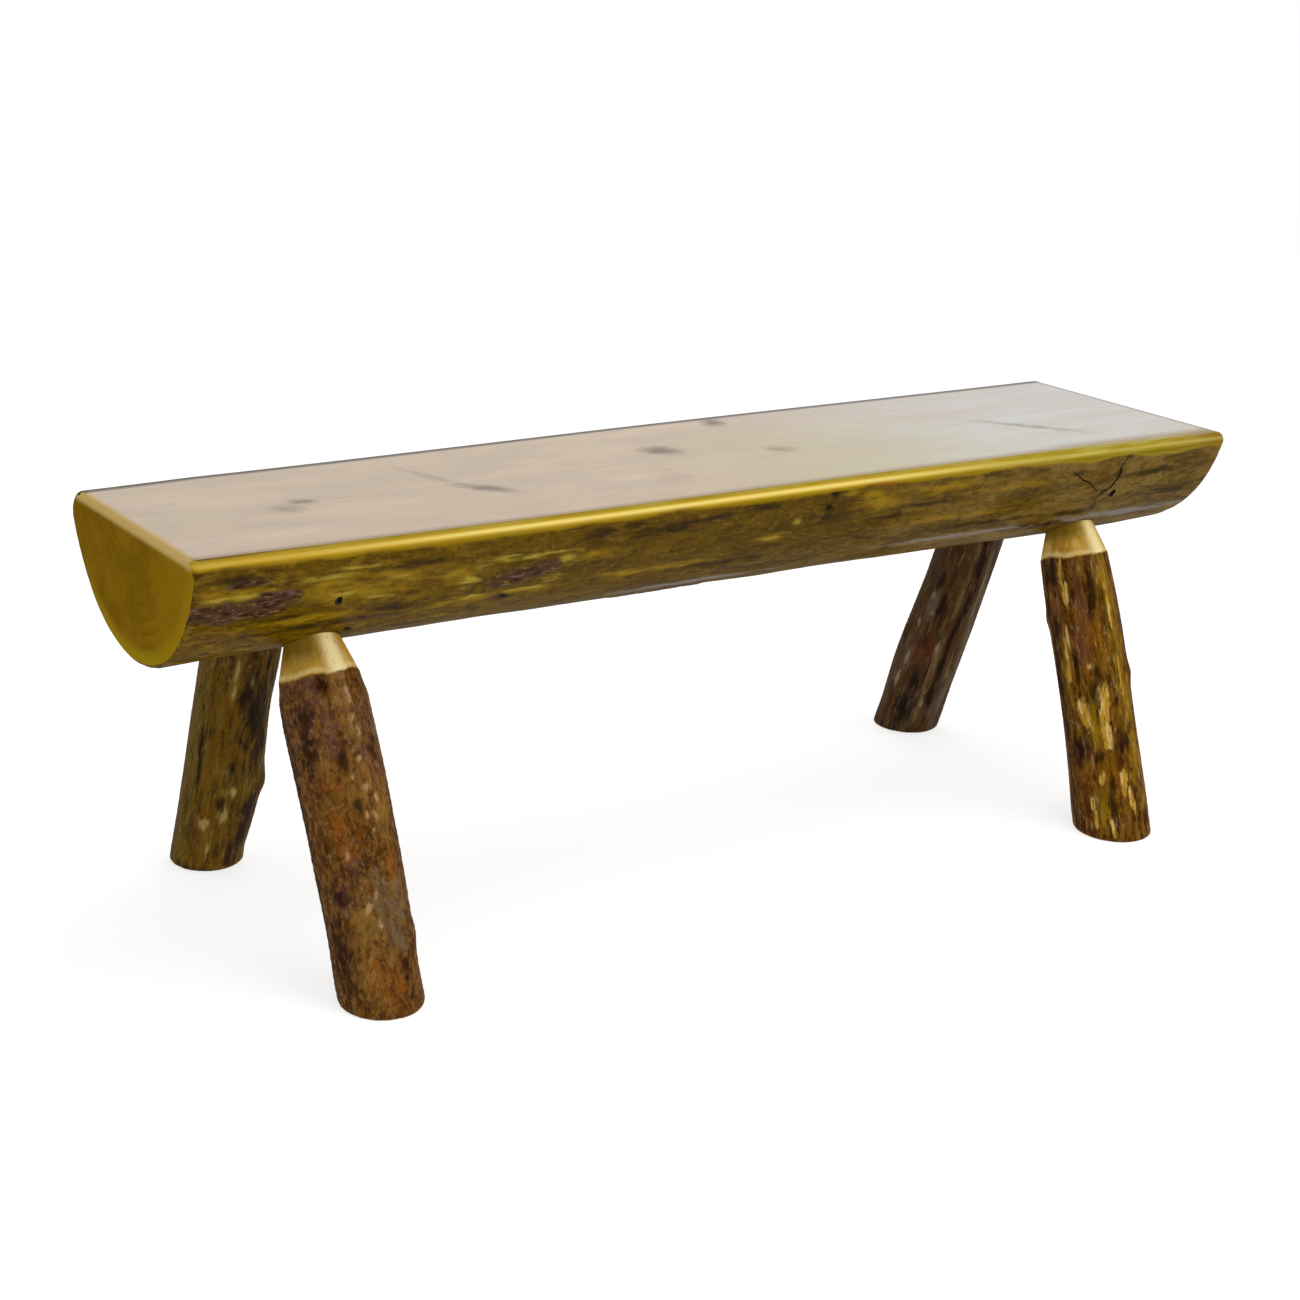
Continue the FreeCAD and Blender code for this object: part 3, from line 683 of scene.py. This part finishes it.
def inner_bark(leg):
    """Inner bark of a small pine log under lacquer: brown, mottled and gritty, gold where it is peeled."""
    paint = LEG_COLOURS[leg]
    seed, streak = LEG_SKINS[leg]["seed"], LEG_SKINS[leg]["streak"]
    material, tree = new_finish(f"lacquered_bark_{leg}", own_place=True)
    coats = [
        (patchy(tree, (24, 24, 44), 0.50, 0.12, seed=seed, strength=0.9), paint["tone"]),
        *((kind, paint[kind]) for kind in ("tan", "orange", "violet", "grey")),
        (patchy(tree, (9, 9, 9 * streak), 0.54, 0.10, seed=seed + 1, strength=0.6), paint["dark"]),
        (patchy(tree, (5.5, 5.5, 5 * streak), 0.56, 0.10, seed=seed + 3, strength=0.6), paint["fleck"]),
        (patchy(tree, (9, 9, 8 * streak), 0.50, 0.14, seed=seed + 2, strength="grit"), paint["fleck"]),
        (patchy(tree, (5, 5, 5 * streak), 0.60, 0.10, seed=seed + 12, strength=0.35), paint["orange"]),
        # painted glints: fine pale specks
        (patchy(tree, (3.5, 3.5, 3.5 * streak), 0.64, 0.10, seed=seed + 4, strength=0.3), paint["pale"]),
        ("peeled", paint["peeled"]),
        (patchy(tree, (3, 3, 22), 0.56, 0.08, seed=seed + 10, strength="peeled"), paint["pale"]),
        (patchy(tree, (2.5, 2.5, 14), 0.62, 0.06, seed=seed + 11, strength="peeled"), paint["bark"]),
        # painted glints
        ("pale", paint["pale"]),
        ("dark", paint["dark"]),
        (patchy(tree, (3, 3, 3 * streak), 0.66, 0.05, seed=seed + 7, strength=0.8), paint["dark"]),
        ("turned", turned_pine(tree, seed)),
    ]
    colour = painted(tree, srgb(paint["bark"]), coats)
    bump = patchy(tree, (1.8, 1.8, 3), 0.5, 0.2, seed=seed + 8, strength="rough")
    dress(tree, colour, 0.45, bump, 0.35, (0.08, 0.2))
    return material


def sawn_foot():
    """Sawn end grain of a foot: dark, dry and stained by the lacquer."""
    material, tree = new_finish("sawn_foot_pine", own_place=True)
    colour = painted(tree, srgb("#4a3416"), [(patchy(tree, (9, 9, 9), 0.5, 0.1), "#281a0a")])
    dress(tree, colour, 0.65, patchy(tree, (1.5, 1.5, 1.5), 0.5, 0.2), 0.1, (0.1, 0.3))
    return material


seat_low, seat_high = (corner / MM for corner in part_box("half_log_seat"))
HALF_LENGTH = (seat_high.x - seat_low.x) / 2


def circle_through(first, second, third):
    """Radius and middle (y, z) of the circle through three points across the log."""
    (ay, az), (by, bz), (cy, cz) = ((point.y, point.z) for point in (first, second, third))
    twice = 2 * (ay * (bz - cz) + by * (cz - az) + cy * (az - bz))
    a2, b2, c2 = ay * ay + az * az, by * by + bz * bz, cy * cy + cz * cz
    middle_y = (a2 * (bz - cz) + b2 * (cz - az) + c2 * (az - bz)) / twice
    middle_z = (a2 * (cy - by) + b2 * (ay - cy) + c2 * (by - ay)) / twice
    return math.hypot(ay - middle_y, az - middle_z), middle_y, middle_z


def measure_log():
    """Smooth curves along the bench for the log's radius and the y and z of its middle."""
    skin = skin_of("half_log_seat")
    places = seat_low.x + 2 * HALF_LENGTH * np.array(LOG_STATION_SHARES)
    inside = seat_high.z - 60  # a height between the planed face and the log's belly
    circles = []
    for along in places:
        start = (along, 0, inside)
        sides = [hit(skin, start, direction) for direction in ((0, -1, 0.2), (0, 0, -1), (0, 1, 0.2))]
        circles.append(circle_through(*sides))
    return [np.polynomial.Polynomial.fit(places, values, 5) for values in np.array(circles).T]


log_radius, log_y, log_z = measure_log()


def edge_rounding(along, side):
    """Middle (y, z) and radius of the rounding of a long edge, and the direction in which it meets the log's
    skin; side is -1 for the front edge and 1 for the rear one."""
    shares, front_rounds, rear_rounds = np.array(EDGE_ROUNDS).T
    radius = np.interp(along / HALF_LENGTH, shares, front_rounds if side < 0 else rear_rounds)
    drop = log_z(along) - seat_high.z + radius
    reach = side * np.sqrt((log_radius(along) - radius) ** 2 - drop ** 2)
    return log_y(along) + reach, seat_high.z - radius, radius, np.arctan2(-drop, reach) % (2 * math.pi)


def degrees_round(points):
    """How far round the log each point lies: 0 is level at the front, 90 straight down, 180 at the back."""
    along = points[:, 0]
    return np.degrees(np.arctan2(log_z(along) - points[:, 2], log_y(along) - points[:, 1])) % 360


def depth_in(ovals, along, turn, radius):
    """How deep inside the nearest of some oval marks each point lies: 1 in its middle, 0 at its edge."""
    depth = np.full(len(along), -9.0)
    for place, at, half_length, half_width in ovals:
        off = np.radians((turn - at + 180) % 360 - 180) * radius
        depth = np.maximum(depth, 1 - np.hypot((along - place) / half_length, off / half_width))
    return depth


def seat_marks(points):
    """Marks on the seat for points in mm, each 0 to 1. Windows are in mm, those of turn in degrees."""
    along = points[:, 0]
    turn = degrees_round(points)
    radius = log_radius(along)
    below = seat_high.z - points[:, 2]
    across = points[:, 1] - log_y(along)
    front = across < 0
    ragged = humps(points, (26, 8, 8), 4)
    streaky = humps(points, (18, 4, 4), 7)
    depth = {kind: depth_in(ovals, along, turn, radius) for kind, ovals in SEAT_MARKS.items()}
    bark = 1.3 * depth["bark"] + 0.45 * ragged
    knots = depth_in([(place, at, 1.3 * size, size) for place, at, size in SEAT_KNOTS], along, turn, radius)
    band_edge = BAND_DEPTH + 3.5 * humps(points, (60, 30, 30), 6)
    band_edge += 3 * ease(340, 440, along) - 2 * ease(-440, -560, along)
    to_end = HALF_LENGTH - np.abs(along)
    inner = radius - np.hypot(across, points[:, 2] - log_z(along))
    chord = np.sqrt(radius ** 2 - (seat_high.z - log_z(along)) ** 2)  # half the face with sharp edges
    from_edge = chord - np.abs(across)
    from_edge -= 7 * front * ease(300, 450, along) + 5 * ease(9, 2, to_end)  # sanded farther in there
    rounded = ease(18, 12.5, from_edge)
    in_from_rear = edge_rounding(along, 1)[0] - points[:, 1]  # from where the flat face ends
    skin = ease(3, 6, below)
    band = rounded * (1 - ease(-2.5, 2.5, below - band_edge)) * np.where(front, 1, ease(0.5, 1.5, below))
    # painted fall of light towards the right: a bluish white painted reflection on the face, and dimmer gold,
    # pale and band colours on the skin
    painted_falloff_right = ease(60, 460, along + 50 * ragged) * 0.85
    line = ease(3.0, 4.8, below) * (1 - ease(5.6, 7.8, below)) * rounded
    return {
        # on the skin
        "bark": skin * ease(-0.1, 0.4, bark),
        "rim": skin * ease(-0.5, -0.2, bark) * (1 - ease(-0.05, 0.1, bark)) * ease(-0.1, 0.5, ragged + 0.2),
        # gold and pale places dim towards the right with the painted fall of light
        "gold": (0.9 - 0.4 * painted_falloff_right) * skin * ease(-0.7, 0.8, depth["gold"] + ragged),
        "pale": (0.9 - 0.4 * painted_falloff_right) * skin * ease(-0.5, 0.9, depth["pale"] + streaky),
        "dark": 0.85 * skin * ease(-0.7, 0.8, depth["dark"] + streaky),
        # grey weathering, and at the right end a painted sheen low on the side
        "grey": 0.9 * skin * ease(-0.6, 0.7, depth["grey"] + 0.8 * ragged),
        "orange": skin * ease(-0.3, 0.6, depth["orange"] + 0.5 * ragged),
        "knot": skin * ease(0.0, 0.55, knots),
        "knot_ring": skin * ease(-1.2, -0.3, knots) * (1 - ease(-0.1, 0.3, knots)),
        # the clean band, and the edges of the planed face
        "band": band,
        # painted fall of light: the band duller towards the right, and along its top
        "band_dimmed": band * np.maximum(painted_falloff_right, 0.8 * ease(3.4, 1.2, below)),
        # painted shade on the lower part of the rounded edge
        "band_low_shade": band * ease(7, 10.5, below),
        "band_tip": 0.75 * band * ease(520, 596, along + 12 * ragged),
        "seam": front * ease(29, 17, from_edge) * (1 - rounded) * 0.65,
        # painted highlight line along the rounded edge
        "gleam": line * (0.2 + 0.65 * ease(-560, -280, along) * ease(380, 60, along)),
        # painted shade: a dark line along the face's rear edge
        "rear_edge_shade": (1 - front) * (1 - ease(1, 3, below)) * ease(11, 4, in_from_rear),
        # painted highlight along the top edge at the left end
        "end_edge_highlight": ease(9, 5, to_end) * (1 - ease(3, 7, below)) * ease(200, -200, along),
        "far_edge": 0.6 * ease(13, 9, to_end) * ease(0, 400, along),
        # slow changes of colour, some of them painted light and shade
        # painted light: a greenish tint on the front of the face, from the middle rightwards
        "painted_green_tint": 0.8 * ease(-60, 80, along + 60 * ragged) * ease(-130, 20, -points[:, 1]),
        "warm": 0.9 * ease(150, 520, -along + 90 * ragged),
        "brown": 0.9 * ease(60, 300, along + 60 * ragged),
        "painted_falloff_right": painted_falloff_right,
        # painted shade: darker on the lower side of the log
        "under": 0.5 * ease(56, 76, turn + 8 * ragged) * ease(150, 110, turn),
        # the sawn ends
        "edge": ease(22, 10, inner) * ease(12, 4, to_end) * ease(150, 110, turn),
        "end_front": 0.6 * ease(-20, -110, points[:, 1]) * ease(12, 4, to_end),
        # painted highlight fading down from the top edge of the sawn end
        "end_top_highlight": 0.9 * ease(11, 4, below) * ease(-200, -400, along),
    }


def seat_relief(points):
    """How far the seat's skin stands proud of the plain log."""
    marks = seat_marks(points)
    shape = humps(points, (150, 60, 60), 1, 2)
    shape += 0.55 * humps(points, (190, 17, 17), 2, 2)
    shape += 0.22 * humps(points, (22, 6, 6), 3, 2)
    rough = 0.6 * humps(points, (9, 4.5, 4.5), 5, 2)
    shape += marks["bark"] * (0.9 + rough) - 0.5 * marks["rim"]
    shape += 0.9 * marks["knot_ring"] - 1.3 * marks["knot"]
    return shape * ease(5, 16, seat_high.z - points[:, 2])


def seat_outline(along):
    """Points (y, z) and outward directions round the seat at one place, from the face's front edge down."""
    front_y, front_z, front_round, front_end = edge_rounding(along, -1)
    rear_y, rear_z, rear_round, rear_start = edge_rounding(along, 1)
    skin_turns = np.linspace(front_end, rear_start, SKIN_ROWS, endpoint=False)
    arcs = (
        (front_y, front_z, front_round, np.linspace(math.pi / 2, front_end, ROUND_ROWS, endpoint=False)),
        (log_y(along), log_z(along), log_radius(along), skin_turns),
        (rear_y, rear_z, rear_round, np.linspace(rear_start, 2.5 * math.pi, ROUND_ROWS)),
    )
    outline = []
    for arc_y, arc_z, arc_radius, angles in arcs:
        outward = np.stack([np.cos(angles), np.sin(angles)], axis=1)
        outline.append(np.hstack([outward * arc_radius + (arc_y, arc_z), outward]))
    in_from_edge = np.array(FACE_EDGE_ROWS)
    spread = np.linspace(rear_y - FACE_EDGE_ROWS[-1], front_y + FACE_EDGE_ROWS[-1], FACE_ROWS + 2)[1:-1]
    across = np.concatenate([rear_y - in_from_edge, spread, front_y + in_from_edge[::-1]])
    flat = np.stack([across, np.full_like(across, seat_high.z), 0 * across, 0 * across + 1], axis=1)
    return np.concatenate([*outline, flat])


def crack_blade(half_width, depth, points):
    """A thin wedge along a line on the log's skin, which cuts a drying crack."""
    share = np.linspace(0, 1, 4 * len(points))
    along, turn = (np.interp(share, np.linspace(0, 1, len(points)), part) for part in np.array(points).T)
    along += 0.8 * np.sin(share * 23)  # a small wander
    angle = np.radians(180 + turn)
    outward = np.stack([np.zeros_like(angle), np.cos(angle), np.sin(angle)], axis=1)
    middle = np.stack([along, log_y(along), log_z(along)], axis=1)
    radius = log_radius(along)[:, None]
    line = middle + outward * radius
    ahead = np.gradient(line, axis=0)
    sideways = np.cross(ahead, outward)
    sideways /= np.linalg.norm(sideways, axis=1)[:, None]
    swell = np.sin(share * math.pi)[:, None]  # 1 in the middle of the crack, 0 at its tips
    width = half_width * np.maximum(swell ** 0.5, 0.08)
    above = 3.0  # how far the blade stands over the skin
    flare = width * (1 + above / depth)
    top = line + outward * above
    bottom = line - outward * depth * np.maximum(swell, 0.2)
    return closed_skin(np.stack([top - sideways * flare, top + sideways * flare, bottom], axis=1))


def make_seat(legs):
    """The seat: the log's skin with its relief, sawn ends, mortises, screw bores and drying cracks."""
    steps = round(2 * HALF_LENGTH / SEAT_STEP)
    starts = END_ROUND * (1 - np.cos(ROUNDING_TURNS))
    insets = np.concatenate([END_ROUND * (1 - np.sin(ROUNDING_TURNS)), np.zeros(steps + 1)])
    depths = np.concatenate([starts, np.linspace(END_ROUND, HALF_LENGTH, steps // 2 + 1)])
    columns = [(-HALF_LENGTH + depth, inset) for depth, inset in zip(depths, insets)]
    columns += [(-place, inset) for place, inset in reversed(columns[:-1])]

    places, inset = np.array(columns).T
    outlines = np.array([seat_outline(place) for place in places])
    around = outlines.shape[1]
    plain = np.dstack([np.repeat(places[:, None], around, 1), outlines[:, :, 0], outlines[:, :, 1]])
    relief = seat_relief(plain.reshape(-1, 3)).reshape(len(columns), around)
    rings = plain.copy()
    rings[:, :, 1:] += outlines[:, :, 2:] * (relief - inset[:, None])[:, :, None]

    left, right = shrinking_rings(rings[0], CAP_RINGS), shrinking_rings(rings[-1], CAP_RINGS)
    vertices, faces = closed_skin(np.array([*reversed(left), *rings, *right]))

    skin, face, end, bore = range(4)
    row = np.full(around, skin)
    row[:2] = face  # the start of the front edge's rounding
    row[2 * ROUND_ROWS + SKIN_ROWS - 1:] = face  # from the end of the rear edge's rounding on
    sawn_part = np.full(CAP_RINGS * around, end)  # a cap and the first row of its rounding
    later = len(ROUNDING_TURNS) - 2  # over the rounding's next rows the skin keeps its own finish
    rounding = np.tile(np.where(row == skin, skin, end), later)
    middle = np.tile(row, len(columns) - 1 - 2 * (1 + later))
    fans = np.full(2 * around, end)
    finishes = np.concatenate([sawn_part, rounding, middle, rounding, sawn_part, fans])
    pith = (float(log_y(0)), float(log_z(0)))
    materials = [peeled_log(), planed_pine(pith), sawn_end(pith), bored_wood()]
    mesh = make_mesh("half_log_seat_wood", vertices, faces, materials, finishes)
    cutters = [crack_blade(*crack) for crack in CRACKS]
    for leg in legs.values():
        cutters += [leg["mortise"], leg["screw_bore"]]
    mesh = cut(mesh, cutters, bore)
    marks = seat_marks(points_of(mesh))
    del marks["rim"], marks["knot_ring"]  # these shape the relief only
    store(mesh, marks)
    place_piece(mesh, "half_log_seat")


def measure_leg(leg):
    """A leg's own frame, and curves for its radius and drift along it, read from its CAD node."""
    node = f"leg_{leg}"
    skin = skin_of(node)
    top, up = end_face(node, UP)
    length = top.z / up.z
    foot = top - up * length
    lengthwise = (Vector((1, 0, 0)) - up * up.x).normalized()
    sideways = up.cross(lengthwise)
    turn = Matrix((lengthwise, sideways, up)).transposed()
    place = Matrix.Translation(foot) @ turn.to_4x4()

    angles = np.radians(22.5 + 45 * np.arange(8))  # eight ways round, clear of the lock screw's bore
    rays = [lengthwise * math.cos(angle) + sideways * math.sin(angle) for angle in angles]
    heights = np.arange(30, length - 4, 1.0)
    centres = [foot + up * height for height in heights]
    reach = np.array([[(hit(skin, centre, ray) - centre).length for ray in rays] for centre in centres])
    radius = reach.mean(1)
    tenon_radius = radius[-10]  # below the chamfer of the tenon's end
    slope = np.gradient(radius)
    clearly = 0.2  # mm: where the leg is this much thicker than its tenon, its shoulder has begun
    root_row = np.flatnonzero(radius > tenon_radius + clearly)[-1]
    bark_row = np.flatnonzero(slope[:root_row - 2] > -0.16)[-1]  # the bark tapers less than the shoulder
    slope_down = (radius[bark_row + 3] - radius[root_row - 3]) / (root_row - bark_row - 6)
    grown = slice(0, bark_row - 3)
    curves = [
        np.polynomial.Polynomial.fit(heights[grown], values[grown], 5)
        for values in (radius, (reach * np.cos(angles)).mean(1) * 2, (reach * np.sin(angles)).mean(1) * 2)
    ]
    head, outward = end_face(f"lock_screw_{leg}", sideways * (-1 if "front" in leg else 1))
    return {
        "place": place, "up": np.array(turn.transposed() @ UP), "length": length, "curves": curves,
        "grown": (heights[0], heights[bark_row - 4]), "bark_end": heights[bark_row],
        "root": heights[root_row] + clearly / slope_down, "tenon_radius": tenon_radius, "slope": slope_down,
        "screw": Matrix.Translation(head) @ (-outward).to_track_quat("Z", "Y").to_matrix().to_4x4(),
    }


# Bores for the tenons, in mm
BORE_GAP = 0.15  # round a tenon
MORTISE_SPARE = 2.0  # past a tenon's end
MOUTH_OVERRUN = 16.0  # how far a mortise's tapered mouth runs down from the root of the tenon
# Bores for the lock screws, in mm, 0.1 wider than the screws
SCREW_HEAD_RADIUS, SCREW_HEAD_RIM, SCREW_HEAD_TAPER = 3.7, 1.1, 2.4
SCREW_SHANK_RADIUS, SCREW_LENGTH = 2.4, 90.1
SCREW_OVERRUN = 12.0  # how far the bore runs out from the head, past the log's skin


def bore_shapes(leg):
    """The mortise that takes a leg, and the bore that takes its lock screw, as solids to cut away."""
    root = leg["place"] @ Matrix.Translation((0, 0, leg["root"]))
    tenon = leg["tenon_radius"] + BORE_GAP
    mouth = tenon + MOUTH_OVERRUN * leg["slope"]
    depth = leg["length"] - leg["root"] + MORTISE_SPARE
    mortise = turned_shape(((mouth, -MOUTH_OVERRUN), (tenon, 0), (tenon, depth)), root)
    screw_profile = (
        (SCREW_HEAD_RADIUS, -SCREW_OVERRUN), (SCREW_HEAD_RADIUS, SCREW_HEAD_RIM),
        (SCREW_SHANK_RADIUS, SCREW_HEAD_RIM + SCREW_HEAD_TAPER), (SCREW_SHANK_RADIUS, SCREW_LENGTH),
    )
    return mortise, turned_shape(screw_profile, leg["screw"], 24)


def leg_marks(name, points, turn, height, radius):
    """Marks on a leg's bark for points in its own frame, each 0 to 1: those of its list, and its grains."""
    seed, streak = LEG_SKINS[name]["seed"], LEG_SKINS[name]["streak"]
    ragged = humps(points, (5, 5, 4 * streak), seed)
    cloudy = humps(points, (13, 13, 6 * streak), seed + 5)
    depth = {kind: depth_in(ovals, height, turn, radius) for kind, ovals in LEG_MARKS[name].items()}
    marks = {kind: ease(-0.7, 0.8, depth[kind] + 1.1 * cloudy) for kind in ("violet", "orange", "grey")}
    marks["grey"] *= 0.75
    marks["tan"] = ease(-0.6, 0.8, depth["tan"] + 1.1 * ragged)
    marks["peeled"] = ease(-0.08, 0.16, depth["peeled"] + 0.75 * ragged)
    marks["dark"] = 0.85 * ease(-0.6, 0.8, depth["dark"] + 1.2 * ragged)
    marks["pale"] = 0.75 * ease(-0.3, 0.9, depth["pale"] + 1.3 * ragged)
    marks["light"] = ease(30, 2, np.abs(turn - 279))  # painted highlight down the side of the shoulder that faces the light
    marks["grit"] = pebbles(points, (5.2, 5.2, 6.5), seed + 2)
    return marks


def leg_skin(name, leg, angle, height):
    """Points of a leg's skin in its own frame, and its marks, for angles and heights up the leg."""
    skin = LEG_SKINS[name]
    radius_curve, drift_x, drift_y = leg["curves"]
    bark_end, root = leg["bark_end"], leg["root"]
    held = np.clip(height, *leg["grown"])
    radius = radius_curve(held)
    fade = ease(root, bark_end - 10, height)
    turn = np.degrees(angle) % 360
    outward = outward_at(angle)
    drift = np.stack([drift_x(held) * fade, drift_y(held) * fade, height], axis=1)
    plain = drift + outward * radius[:, None]
    marks = leg_marks(name, plain, turn, height, radius)
    bark = radius + skin["wander"] * humps(plain, (48, 48, 130), skin["seed"] + 3, 2)
    bark += 0.5 * humps(plain, (13, 13, 150), skin["seed"] + 4, 2)
    grain = skin["grit"] * (marks["grit"] - 0.4) * ease(bark_end + 12, bark_end - 12, height)
    bark += (1 - marks["peeled"]) * (0.1 + grain) - 0.7 * marks["peeled"]
    bark -= skin["lip"] * ease(bark_end - 16, bark_end + 10, height)
    for nub_height, nub_turn, size, width in skin["nubs"]:
        turned = (angle - math.radians(nub_turn) + math.pi) % (2 * math.pi) - math.pi
        off = np.hypot(turned * radius, (height - nub_height) / 1.4)
        bark += size * np.exp(-((off / width) ** 2))
    shoulder = leg["tenon_radius"] + np.maximum(root - height, 0) * leg["slope"]
    marks["turned"] = ease(-0.25, 0.35, bark - shoulder)
    marks["rough"] = 1 - marks["turned"]
    rim = ease(0.2, 0.7, bark - shoulder) * (1 - ease(1.2, 2.6, bark - shoulder))
    # the painted highlight takes in a lighter rim along the bark's edge as well
    marks["light"] = np.maximum(marks["light"], 0.4 * rim)
    up_shoulder = (height - bark_end) / (root - bark_end)
    marks["joint_shade"] = 0.8 * ease(0.3, 0.75, up_shoulder) * ease(272, 237, turn)  # painted shadow of the seat on the shoulder's upper left
    return drift + outward * np.minimum(bark, shoulder)[:, None], marks


def make_leg(name, leg):
    """One leg: bark from its worn foot up, then the turned shoulder and the tenon."""
    up = leg["up"]
    mean_radius = leg["curves"][0]((leg["grown"][0] + leg["grown"][1]) / 2)
    around = round(2 * math.pi * mean_radius / LEG_STEP)
    angle = np.linspace(0, 2 * math.pi, around, endpoint=False)
    floor = np.zeros(around)
    for _ in range(4):
        points, _marks = leg_skin(name, leg, angle, floor)
        floor = floor - points @ up / up[2]

    rings, marks = [], []

    def add_ring(height, radius_limit=None):
        points, ring_marks = leg_skin(name, leg, angle, height + np.zeros(around))
        if radius_limit is not None:
            points[:, :2] *= radius_limit / np.hypot(points[:, 0], points[:, 1])[:, None]
        rings.append(points)
        marks.append(ring_marks)

    outward = outward_at(angle)
    level = outward - np.outer(outward @ up, up)
    level /= np.linalg.norm(level, axis=1)[:, None]
    for turn in ROUNDING_TURNS:
        over_floor = FOOT_ROUND * (1 - math.cos(turn))
        add_ring(floor + over_floor / up[2])
        rings[-1] -= level * FOOT_ROUND * (1 - math.sin(turn))
        rings[-1][:, 2] += (over_floor - rings[-1] @ up) / up[2]
    bark_start = floor + FOOT_ROUND / up[2]
    square = leg["bark_end"] - SHOULDER_MARGIN
    for share in np.linspace(0, 1, round((square - FOOT_ROUND) / LEG_STEP)):
        add_ring(bark_start + share * (square - bark_start))
    for height in np.arange(square + LEG_STEP, leg["root"], LEG_STEP):
        add_ring(height)
    for share in np.linspace(0, 1, 6):
        add_ring(leg["root"] + share * (leg["length"] - TENON_CHAMFER - leg["root"]))
    add_ring(leg["length"], leg["tenon_radius"] - TENON_CHAMFER)
    add_ring(leg["length"], leg["tenon_radius"] / 2)

    inner = shrinking_rings(rings[0], FOOT_RINGS)
    own_places, faces = closed_skin(np.array([*reversed(inner), *rings]))
    bark, sawn = range(2)
    finishes = np.full(len(faces), bark)
    finishes[:len(inner) * around] = sawn
    finishes[-2 * around:-around] = sawn  # the fan that closes the sole
    vertices = carried(own_places, leg["place"])
    mesh = make_mesh(f"leg_{name}_wood", vertices, faces, [inner_bark(name), sawn_foot()], finishes)
    rows = [marks[0]] * len(inner) + marks
    ends = (marks[0], marks[-1])
    store(mesh, {
        kind: np.concatenate([*(row[kind] for row in rows), [row[kind].mean() for row in ends]])
        for kind in marks[0]
    })
    own = mesh.attributes.new("own_place", "FLOAT_VECTOR", "POINT")
    own.data.foreach_set("vector", (own_places * MM).astype(np.float32).ravel())
    place_piece(mesh, f"leg_{name}")


def make_bench():
    """All pieces: the seat, the legs, and the frame's own screws with their finish."""
    legs = {name: measure_leg(name) for name in LEG_SKINS}
    for leg in legs.values():
        leg["mortise"], leg["screw_bore"] = bore_shapes(leg)
    make_seat(legs)
    for name, leg in legs.items():
        make_leg(name, leg)
    steel = blackened_steel()
    for name in LEG_SKINS:
        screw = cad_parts[f"lock_screw_{name}"]
        screw.data.materials.clear()
        screw.data.materials.append(steel)


# The studio, in metres, with its brightnesses beside a white wall of 1
FLOOR_FLAT, FLOOR_REACH = 10.0, 60.0  # to the edge of its flat middle, and to its rim
FLOOR_RISE = 2.0  # the rim lies this much higher and hides the room's horizon
FLOOR_GLOW = 0.72  # keeps the floor white out to its rim
ROOM_BRIGHTNESS = 0.62
SOFTBOX_BRIGHTNESS = 3.0
SOFTBOX_AIM = Vector((0, 0, 0.43))  # the middle of the seat


def softbox(name, place, size):
    """A soft warm white light that looks at the seat."""
    light = bpy.data.lights.new(name, "AREA")
    light.shape = "RECTANGLE"
    light.size, light.size_y = size
    light.energy = SOFTBOX_BRIGHTNESS * math.pi * size[0] * size[1]
    light.color = srgb("#fffaf0")[:3]
    lamp = put_in_scene(name, light)
    lamp.location = place
    lamp.rotation_euler = (Vector(place) - SOFTBOX_AIM).to_track_quat("Z", "Y").to_euler()


def make_studio():
    """A plain white floor in an even pale room, with soft lights above and in front."""
    floor_mesh = bpy.data.meshes.new("studio_floor")
    lines = (-FLOOR_REACH, -FLOOR_FLAT, FLOOR_FLAT, FLOOR_REACH)  # four each way, three tiles between them
    corners = [(x, y, FLOOR_RISE if FLOOR_REACH in (abs(x), abs(y)) else 0) for x in lines for y in lines]
    tiles = [(at, at + 4, at + 5, at + 1) for at in range(11) if at % 4 < 3]
    floor_mesh.from_pydata(corners, [], tiles)
    material, tree = new_finish("lit_white_floor")
    surface = add(tree, "BsdfPrincipled", {
        "Base Color": srgb("#b4b4b4"), "Roughness": 1.0, "Specular IOR Level": 0.0,
        "Emission Color": srgb("#ffffff"), "Emission Strength": FLOOR_GLOW,
    })
    add(tree, "OutputMaterial", {"Surface": surface.outputs[0]})
    floor_mesh.materials.append(material)
    put_in_scene("studio_floor", floor_mesh)

    world = bpy.data.worlds.new("pale_room")
    world.use_nodes = True
    background = world.node_tree.nodes["Background"].inputs
    background["Color"].default_value = srgb("#ffffff")
    background["Strength"].default_value = ROOM_BRIGHTNESS
    bpy.context.scene.world = world

    softbox("softbox_above", (0.4, -0.2, 2.8), (2.4, 1.0))
    softbox("softbox_front", (1.4, -2.0, 1.9), (2.6, 1.0))


# The photograph's camera, found from the bench's own sizes
CAMERA_PLACE = (-1405.7, -2158.1, 1030.4)  # mm
CAMERA_AZIMUTH, CAMERA_ELEVATION, CAMERA_ROLL = -32.32, 17.46, 1.44  # degrees
CAMERA_LENS, CAMERA_SENSOR = 70.0, 36.0  # mm


def make_camera():
    """The camera at the photograph's viewpoint."""
    camera = bpy.data.cameras.new("camera")
    camera.lens = CAMERA_LENS
    camera.sensor_width = CAMERA_SENSOR
    viewer = put_in_scene("camera", camera)
    aim = Matrix.Rotation(math.radians(CAMERA_AZIMUTH), 4, "Z")
    tilt = Matrix.Rotation(math.radians(90 - CAMERA_ELEVATION), 4, "X")
    roll = Matrix.Rotation(math.radians(CAMERA_ROLL), 4, "Z")
    viewer.matrix_world = Matrix.Translation(Vector(CAMERA_PLACE) * MM) @ aim @ tilt @ roll
    bpy.context.scene.camera = viewer


make_camera()
make_studio()
make_bench()
bpy.context.scene.view_settings.view_transform = "Standard"
